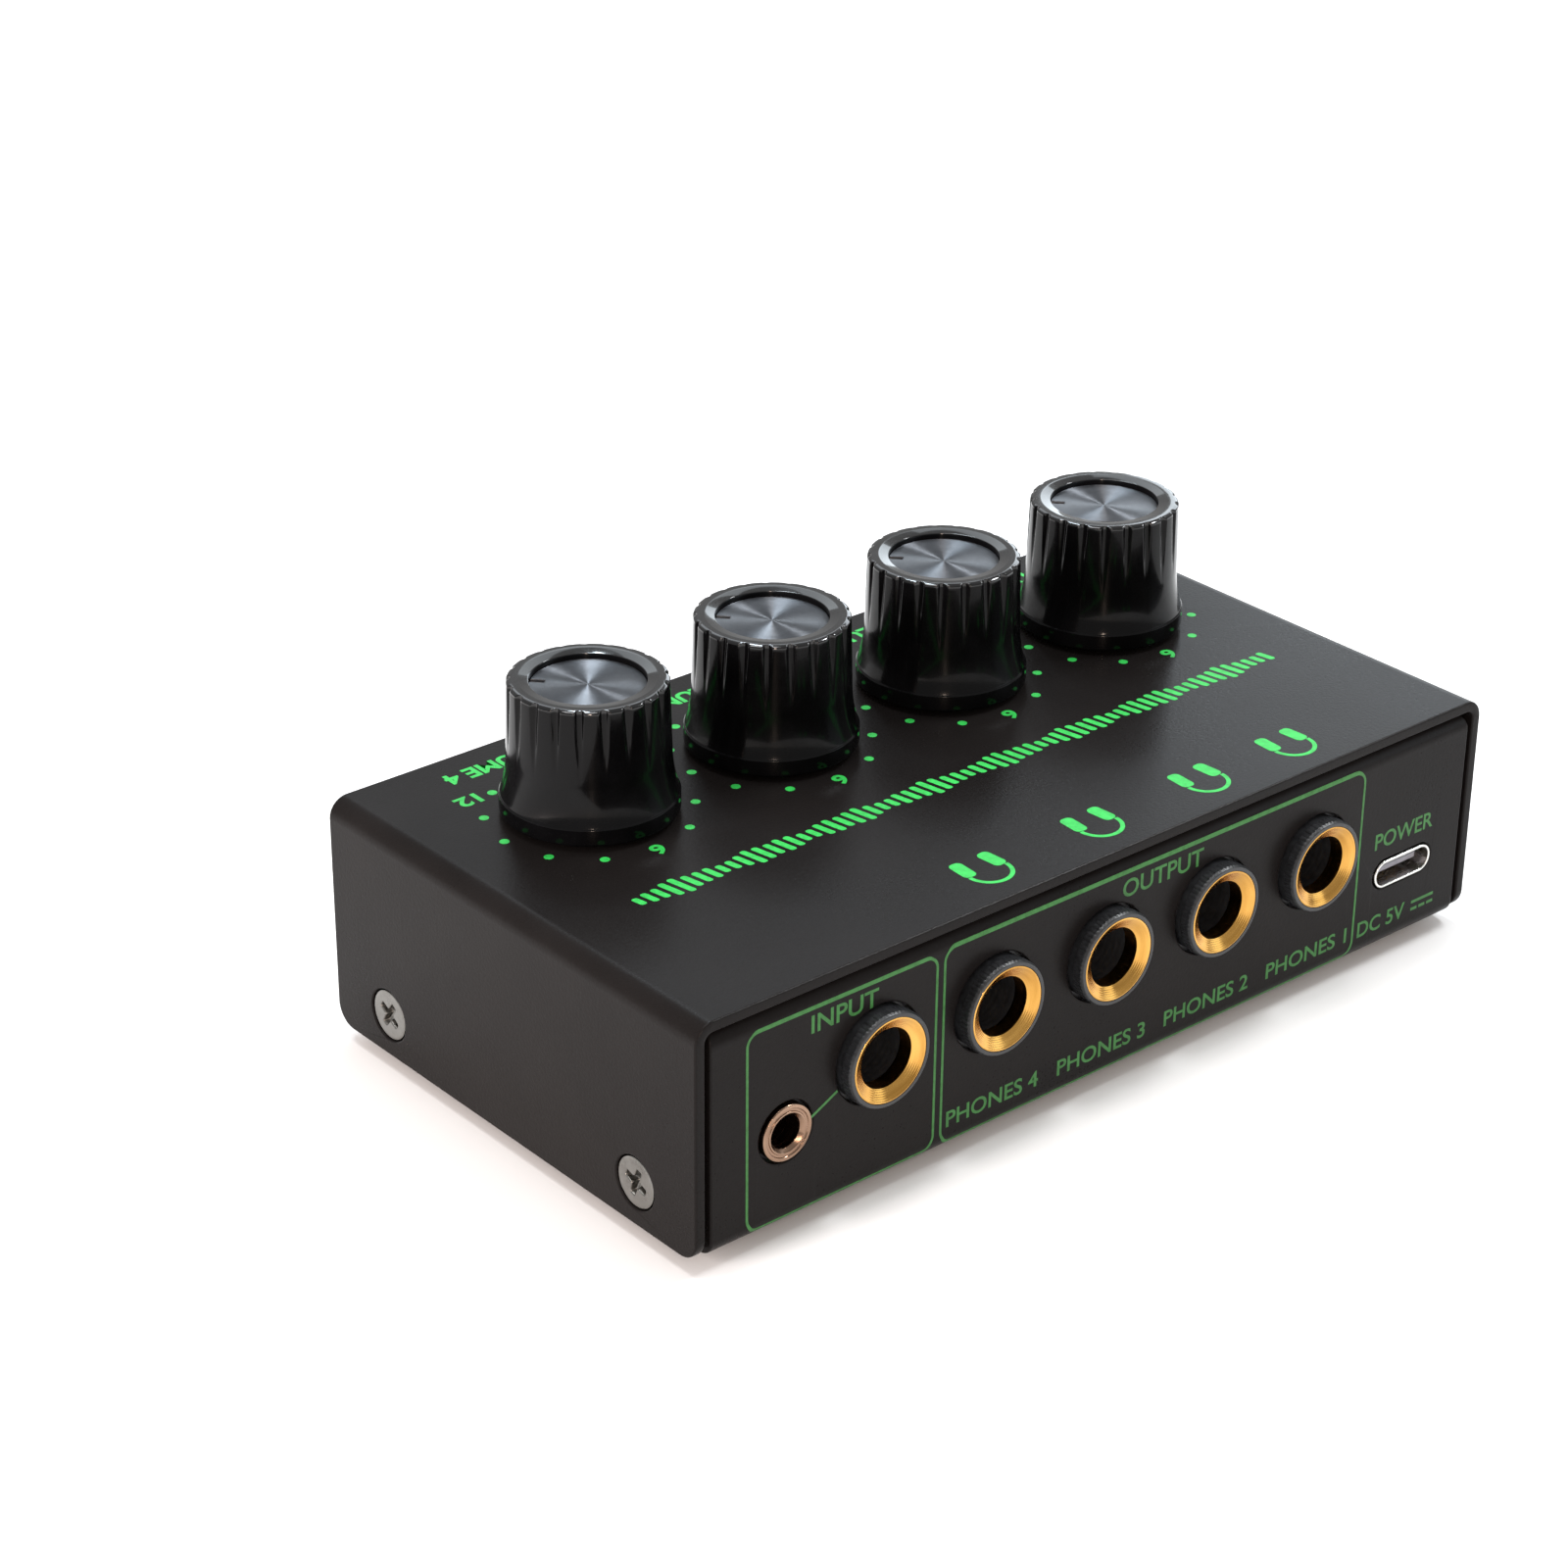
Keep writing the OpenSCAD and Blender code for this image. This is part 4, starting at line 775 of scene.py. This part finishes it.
def slotRows(section, wide, high, steps=28):
    # a slot with half-round ends at each (inset, depth) of the section
    rows = []
    for inset, depth in section:
        r = high / 2 - inset
        loop = np.concatenate([arc((wide - high) / 2, 0, r, -1, 1, steps),
                               arc(-(wide - high) / 2, 0, r, 1, 3, steps)])
        away = np.full(len(loop), frontY - usb["proud"] + depth)
        rows.append(np.column_stack([usbSpot[0] + loop[:, 0], away, usbSpot[2] + loop[:, 1]]))
    return np.array(rows)


def usbShell():
    # the drawn shell: its wall's section, from half the wall's thickness round to the same place
    u = usb
    section = filleted([[u["wall"] / 2, u["long"]], [0, u["long"]], [0, 0], [u["wall"], 0],
                        [u["wall"], u["long"]], [u["wall"] / 2, u["long"]]],
                       [0, 0.05, 0.14, 0.12, 0.05, 0], 5)[:-1]
    return gridSkin(slotRows(section, usb["wide"], usb["high"]), True)


def usbTongue():
    # the moulded block at the back of the shell and the tongue that stands out of it
    u = usb
    back = u["long"] - u["block"]
    inset = u["wall"] + 0.01
    block = slotRows([[inset, back], [inset, u["long"]]], u["wide"], u["high"])
    closed = gridSkin(block, False, (usbSpot[0], frontY - u["proud"] + back, usbSpot[2]),
                      (usbSpot[0], frontY - u["proud"] + u["long"], usbSpot[2]))
    side = u["tongue"] / 2
    plate, faces = plateSkin([roundedPath(-side, u["tongueBack"], side, back + 0.2, 0.3)],
                             u["tongueThick"], 0.12)
    plate = plate + [usbSpot[0], frontY - u["proud"], usbSpot[2]]
    return [closed, (plate, faces)]


addPiece("powerSocketShell", [usbShell()], finishes["usb_steel"], "amplifier",
         ["usb_c_shell"], 50)
addPiece("powerSocketTongue", usbTongue(), tongueFinish, "amplifier",
         ["usb_c_tongue"], 40)
print("power socket made")

# screws and feet
screw = {"head": 2.72, "rim": 0.16, "shank": 1.47, "long": 5.6, "sink": 0.1, "cross": 3.0, "arm": 0.42,
         "armTaper": 0.22, "well": 0.62, "deep": 1.0, "threads": 16, "pitch": 0.25, "threadDeep": 0.12,
         "turnFront": 20, "turnBack": 33}


def screwSkin(side, y):
    # countersunk head: a face with a soft rim, sunk in a cross whose arms narrow towards their ends
    k = screw
    a = np.linspace(0, 2 * math.pi, 192, endpoint=False)
    rimTurn = np.linspace(0.3, half, 6)
    r = np.concatenate([np.linspace(0.05, 2.45, 60), k["head"] - k["rim"] * (1 - np.sin(rimTurn))])
    across, along = r[:, None] * np.cos(a), r[:, None] * np.sin(a)
    armEnd = k["cross"] / 2

    def arm(u, v):
        wide = k["arm"] * (1 - k["armTaper"] * np.abs(u) / armEnd)
        return 1 / (1 + np.exp((np.abs(v) - wide) / 0.03)) / (1 + np.exp((np.abs(u) - armEnd) / 0.04))

    well = 1 / (1 + np.exp((r[:, None] - k["well"]) / 0.05)) * np.ones_like(across)
    hole = np.maximum(np.maximum(arm(across, along), arm(along, across)), well)
    depth = k["deep"] * hole * (1 - 0.3 * np.clip(r[:, None] / armEnd, 0, 1))
    edge = 0.07 * np.clip((r - 2.5) / 0.22, 0, 1) ** 2
    face = np.stack([across, along, -depth - edge[:, None]], -1)
    thread = np.arange(k["threads"])
    lowR = np.concatenate([[k["head"], k["shank"] + 0.1, k["shank"]],
                           k["shank"] - k["threadDeep"] * (thread % 2), [1.1]])[:, None]
    lowZ = np.concatenate([[-k["rim"], -1.3, -1.5], -1.6 - k["pitch"] * thread, [-k["long"]]])[:, None]
    turned = np.stack([lowR * np.cos(a), lowR * np.sin(a), lowZ * np.ones_like(a)], -1)
    points, faces = gridSkin(np.concatenate([face, turned]), False, (0, 0, -k["deep"]), (0, 0, -k["long"]))
    tilt = math.radians(k["turnFront"] if y < 0 else k["turnBack"])
    u = points[:, 0] * math.cos(tilt) - points[:, 1] * math.sin(tilt)
    v = points[:, 0] * math.sin(tilt) + points[:, 1] * math.cos(tilt)
    out = side * (halfWidth - k["sink"] + points[:, 2])
    return np.column_stack([out, y + u, footZ + case["screwUp"] + v]), faces


addPiece("caseScrews", [screwSkin(side, y) for side in (-1, 1) for y in screwSpots],
         finishes["nickel_screw"], "amplifier", ["case_screws"], 40)

foot = {"radius": 4.0, "inset": 9.0, "slopeWide": 0.35, "slopeHigh": 0.4}
footProfile = filleted([[0, 0], [foot["radius"] - foot["slopeWide"], 0], [foot["radius"], foot["slopeHigh"]],
                        [foot["radius"], footZ], [0, footZ]], [0, 0.25, 0.25, 0.05, 0], 5)
footPlaces = [(x, y) for x in (foot["inset"] - halfWidth, halfWidth - foot["inset"])
              for y in (frontY + foot["inset"], backY - foot["inset"])]
addPiece("rubberFeet", [latheSkin(footProfile, 72, lambda p, x=x, y=y: p + [x, y, 0]) for x, y in footPlaces],
         finishes["rubber"], "amplifier", ["rubber_feet"], 40)
print("screws and feet made")


# printing, in mm of the part's frame: a word has (middle x, middle height or y, letter height, width)
printing = {"under": 0.004, "over": 0.014, "line": 0.3, "dot": 0.52, "dotRing": 10.86,
            "topBold": 0.032, "panelBold": 0.013, "corner": 1.5}


def thick(points):
    # a flat print's thickness: what is below the middle goes just under the coat, the rest just over it
    out = points.copy()
    out[:, 2] = np.where(points[:, 2] > 0, printing["over"], -printing["under"])
    return out


def outlineSkin(u0, v0, u1, v1, radius, line):
    # a frame: a rounded rectangle with a smaller one cut out of it
    inner = roundedPath(u0 + line, v0 + line, u1 - line, v1 - line, radius - line)[::-1]
    return shapeSkin([roundedPath(u0, v0, u1, v1, radius), inner])


def shapeSkin(loops):
    # a flat shape within the outer loop and outside the others
    points, faces = plateSkin(loops, 1.0)
    return thick(points), faces


def lettersSkin(text, u, v, height, width, bold):
    # letters as closed slabs, scaled to a height and a width, their middle at (u, v)
    font = bpy.data.curves.new("letters", "FONT")
    font.body, font.size, font.extrude, font.offset = text, 10.0, 1.0, bold * 10
    font.resolution_u = 4
    points, faces = meshSkin(font)
    low, high = points.min(0), points.max(0)
    scale = [width / (high[0] - low[0]), height / (high[1] - low[1]), 1]
    return thick((points - (low + high) / 2) * scale + [u, v, 0]), faces


def placedText(text, x, y, height, width):
    # letters on the cover, turned half round so that they read from the back
    points, faces = lettersSkin(text, 0, 0, height, width, printing["topBold"])
    return points * [-1, -1, 1] + [x, y, 0], faces


headphones = {"at": (-13.35, 1.95, 17.4, 30.5), "y": -23.6, "outer": 2.68, "inner": 2.2, "padHalf": 0.78,
              "padFrom": -0.1, "padTo": 3.05, "padCorner": 0.6, "padLean": 0.07, "padOut": 2.06,
              "padUp": 0.15}


def headphoneMark(x, y):
    # a half-round band with a pad on each end, opening towards the knobs
    h = headphones
    band = np.concatenate([arc(0, 0, h["outer"], 2, 4, 24), arc(0, 0, h["inner"], 4, 2, 24)])
    parts = [shapeSkin([band])]
    for side in (-1, 1):
        pad = roundedPath(-h["padHalf"], h["padFrom"], h["padHalf"], h["padTo"], h["padCorner"])
        lean = side * h["padLean"]
        pad = pad @ np.array([[math.cos(lean), math.sin(lean)], [-math.sin(lean), math.cos(lean)]])
        parts.append(shapeSkin([pad + [side * h["padOut"], h["padUp"]]]))
    points, faces = joined(parts)
    return points + [x, y, 0], faces


bars = {"from": -43.9, "to": 45.3, "y": -6.6, "height": 3.5, "pitch": 1.32, "halfWide": 0.38, "round": 0.3,
        "lean": 0.18}


def levelBars():
    # a row of leaning bars; height = a slow rise and fall times a quicker, weaker one
    b = bars
    xs = np.arange(b["from"], b["to"], b["pitch"])
    away = xs - b["from"]
    swell = 0.45 + 0.55 * np.abs(np.sin(away * 0.29)) * (0.75 + 0.25 * np.cos(away * 1.3))
    skins = []
    for x, tall in zip(xs, swell * b["height"]):
        bar = roundedPath(-b["halfWide"], -tall / 2, b["halfWide"], tall / 2, b["round"], 4)
        bar[:, 0] -= bar[:, 1] * b["lean"]
        skins.append(shapeSkin([bar + [x, b["y"]]]))
    return skins


dial = {"step": 30, "half": 150, "six": (0, -0.25, 2.1, 1.5), "twelve": (-8.38, 9.5, 2.1, 2.75),
        "zero": (7.73, 9.5, 2.1, 1.5), "volume": (0, 14.45, 2.3, 15.2)}


def dialMarks(number):
    # a dot every 30 degrees except at the middle, which has its number, and numbers beside the two ends
    x, y = float(knobSpots[number][0]), knobY
    ring, marks = printing["dotRing"], []

    def word(text, key, x, y):
        du, dv, height, width = dial[key]
        marks.append(placedText(text, x + du, y + dv, height, width))

    for degrees in range(-dial["half"], dial["half"] + 1, dial["step"]):
        a = math.radians(degrees)
        u, v = x - ring * math.sin(a), y - ring * math.cos(a)
        if degrees:
            marks.append(shapeSkin([circlePath(u, v, printing["dot"], 20)]))
        else:
            word("6", "six", u, v)
    word("12", "twelve", x, y)
    word("0", "zero", x, y)
    word(f"VOLUME {number}", "volume", x, y)
    return marks


topMarks = [mark for number in knobSpots for mark in dialMarks(number)]
topMarks += [headphoneMark(x, headphones["y"]) for x in headphones["at"]]
topMarks += levelBars()
addPiece("topPrint", [(points + [0, 0, topZ], faces) for points, faces in topMarks], topInkLitAndGlowing, "amplifier",
         (), 30)

panelFrames = ((-48.9, 2.55, -24.6, 24.65), (-23.9, 2.5, 36.85, 24.8))
panelWords = {"INPUT": (-36.6, 22.76, 2.0, 8.5), "OUTPUT": (6.35, 22.85, 2.05, 11.6),
              "PHONES 4": (-16.7, 5.08, 1.85, 12.6), "PHONES 3": (-1.4, 5.08, 1.85, 12.6),
              "PHONES 2": (14.0, 5.08, 1.85, 12.6), "PHONES 1": (29.4, 5.08, 1.85, 12.6),
              "POWER": (43.9, 15.1, 1.95, 9.3), "DC 5V": (41.3, 4.95, 1.9, 7.6)}
currentSign = ((46.2, 5.25, 49.8, 5.6), (46.2, 4.35, 47.2, 4.7), (47.5, 4.35, 48.5, 4.7),
               (48.8, 4.35, 49.8, 4.7))
lead = np.array([[-40.75, 12.5], [-37.45, 14.15]])          # the line that joins the two input jacks


def leadSkin():
    # a thin bar: each end of the line moved aside by half its width, both ways
    aside = np.array([-(lead[1] - lead[0])[1], (lead[1] - lead[0])[0]])
    aside *= printing["line"] / 2 / np.linalg.norm(aside)
    return shapeSkin([np.array([lead[0] - aside, lead[1] - aside, lead[1] + aside, lead[0] + aside])])


panelMarks = [outlineSkin(*edges, printing["corner"], printing["line"]) for edges in panelFrames]
panelMarks += [lettersSkin(text, *at, printing["panelBold"]) for text, at in panelWords.items()]
panelMarks += [shapeSkin([roundedPath(*dash, 0.05, 2)]) for dash in currentSign]
panelMarks.append(leadSkin())
addPiece("panelPrint", [(ontoPanel(points), faces) for points, faces in panelMarks], panelInkThinAndShaded, "amplifier",
         (), 30)
print("printing laid")

# carried-over nodes take their finish
for node, thing in frame["nodes"].items():
    thing.data.materials.clear()
    thing.data.materials.append(finishes[slotOf[node]])

# floor and light; a lamp has (place, aim, size, power, tint, whether shiny things mirror it)
studio = {"floorTone": (0.88, 0.88, 0.88), "sky": 0.55, "floorHalf": 3.0, "floorUnder": 0.0001}
lamps = {
    "rightSoftbox": ((1.15, 0.6, 0.48), (0, 0, 0.02), (0.7, 0.5), 4.2, (0.84, 0.93, 1), True),
    "backSoftbox": ((0.62, 0.95, 0.85), (0, 0, 0.03), (0.6, 0.4), 1.2, (0.86, 0.94, 1), True),
    "discStrip": ((0.275, 0.476, 0.95), (0, 0, 0.04), (0.05, 0.4), 4, (0.8, 0.92, 1), True),
    "topSoftbox": ((-0.1, 0.1, 1.1), (0, 0, 0.02), (0.4, 0.4), 5, (1, 1, 1), True),
    "edgeStrip": ((0.62, -0.12, 0.8), (0, 0, 0.03), (0.3, 0.09), 5.5, (0.95, 0.98, 1), True),
    "leftSoftbox": ((-0.95, 0.12, 0.26), (0, 0, 0.02), (0.25, 0.4), 12, (1, 0.88, 0.84), False),
    "frontFill": ((0.3, -0.24, 0.13), (0.045, -0.03, 0.015), (0.16, 0.16), 0.14, (0.8, 0.91, 1), True),
    "warmStrip": ((-0.62, -0.82, 0.5), (0, 0, 0.03), (0.06, 0.6), 4.5, (1, 0.78, 0.64), True),
}


def addFloor():
    floorMesh, size = bpy.data.meshes.new("studioFloor"), studio["floorHalf"]
    corners = [(-size, -size, 0), (size, -size, 0), (size, size, 0), (-size, size, 0)]
    floorMesh.from_pydata(corners, [], [(0, 1, 2, 3)])
    p = Paint("paleFloor", Specular_IOR_Level=0.2)
    wave, tone = p.noise(4, 3), studio["floorTone"]
    p.feed(Base_Color=p.blend(p.between(wave, 0, 1, 0.3, 0.7), tone, tuple(c * 0.985 for c in tone)),
           Roughness=p.between(wave, 0.6, 0.7, 0.3, 0.7))
    floorMesh.materials.append(p.material)
    floor = bpy.data.objects.new("studioFloor", floorMesh)
    bpy.context.scene.collection.objects.link(floor)
    floor.location.z = -studio["floorUnder"]


def addLight(name, spot, aim, size, power, tint, mirrored):
    light = bpy.data.lights.new(name, "AREA")
    light.shape, light.size, light.size_y = "RECTANGLE", size[0], size[1]
    light.energy, light.color = power, tint
    lamp = bpy.data.objects.new(name, light)
    bpy.context.scene.collection.objects.link(lamp)
    lamp.location = spot
    lamp.visible_glossy = mirrored
    lamp.rotation_euler = (Vector(aim) - Vector(spot)).to_track_quat("-Z", "Y").to_euler()


def addSky():
    world = bpy.data.worlds.new("studioRoom")
    bpy.context.scene.world = world
    world.use_nodes = True
    sky = world.node_tree.nodes["Background"]
    sky.inputs["Color"].default_value = (1, 1, 1, 1)
    sky.inputs["Strength"].default_value = studio["sky"]


addFloor()
addSky()
for name, settings in lamps.items():
    addLight(name, *settings)
print("studio lit")
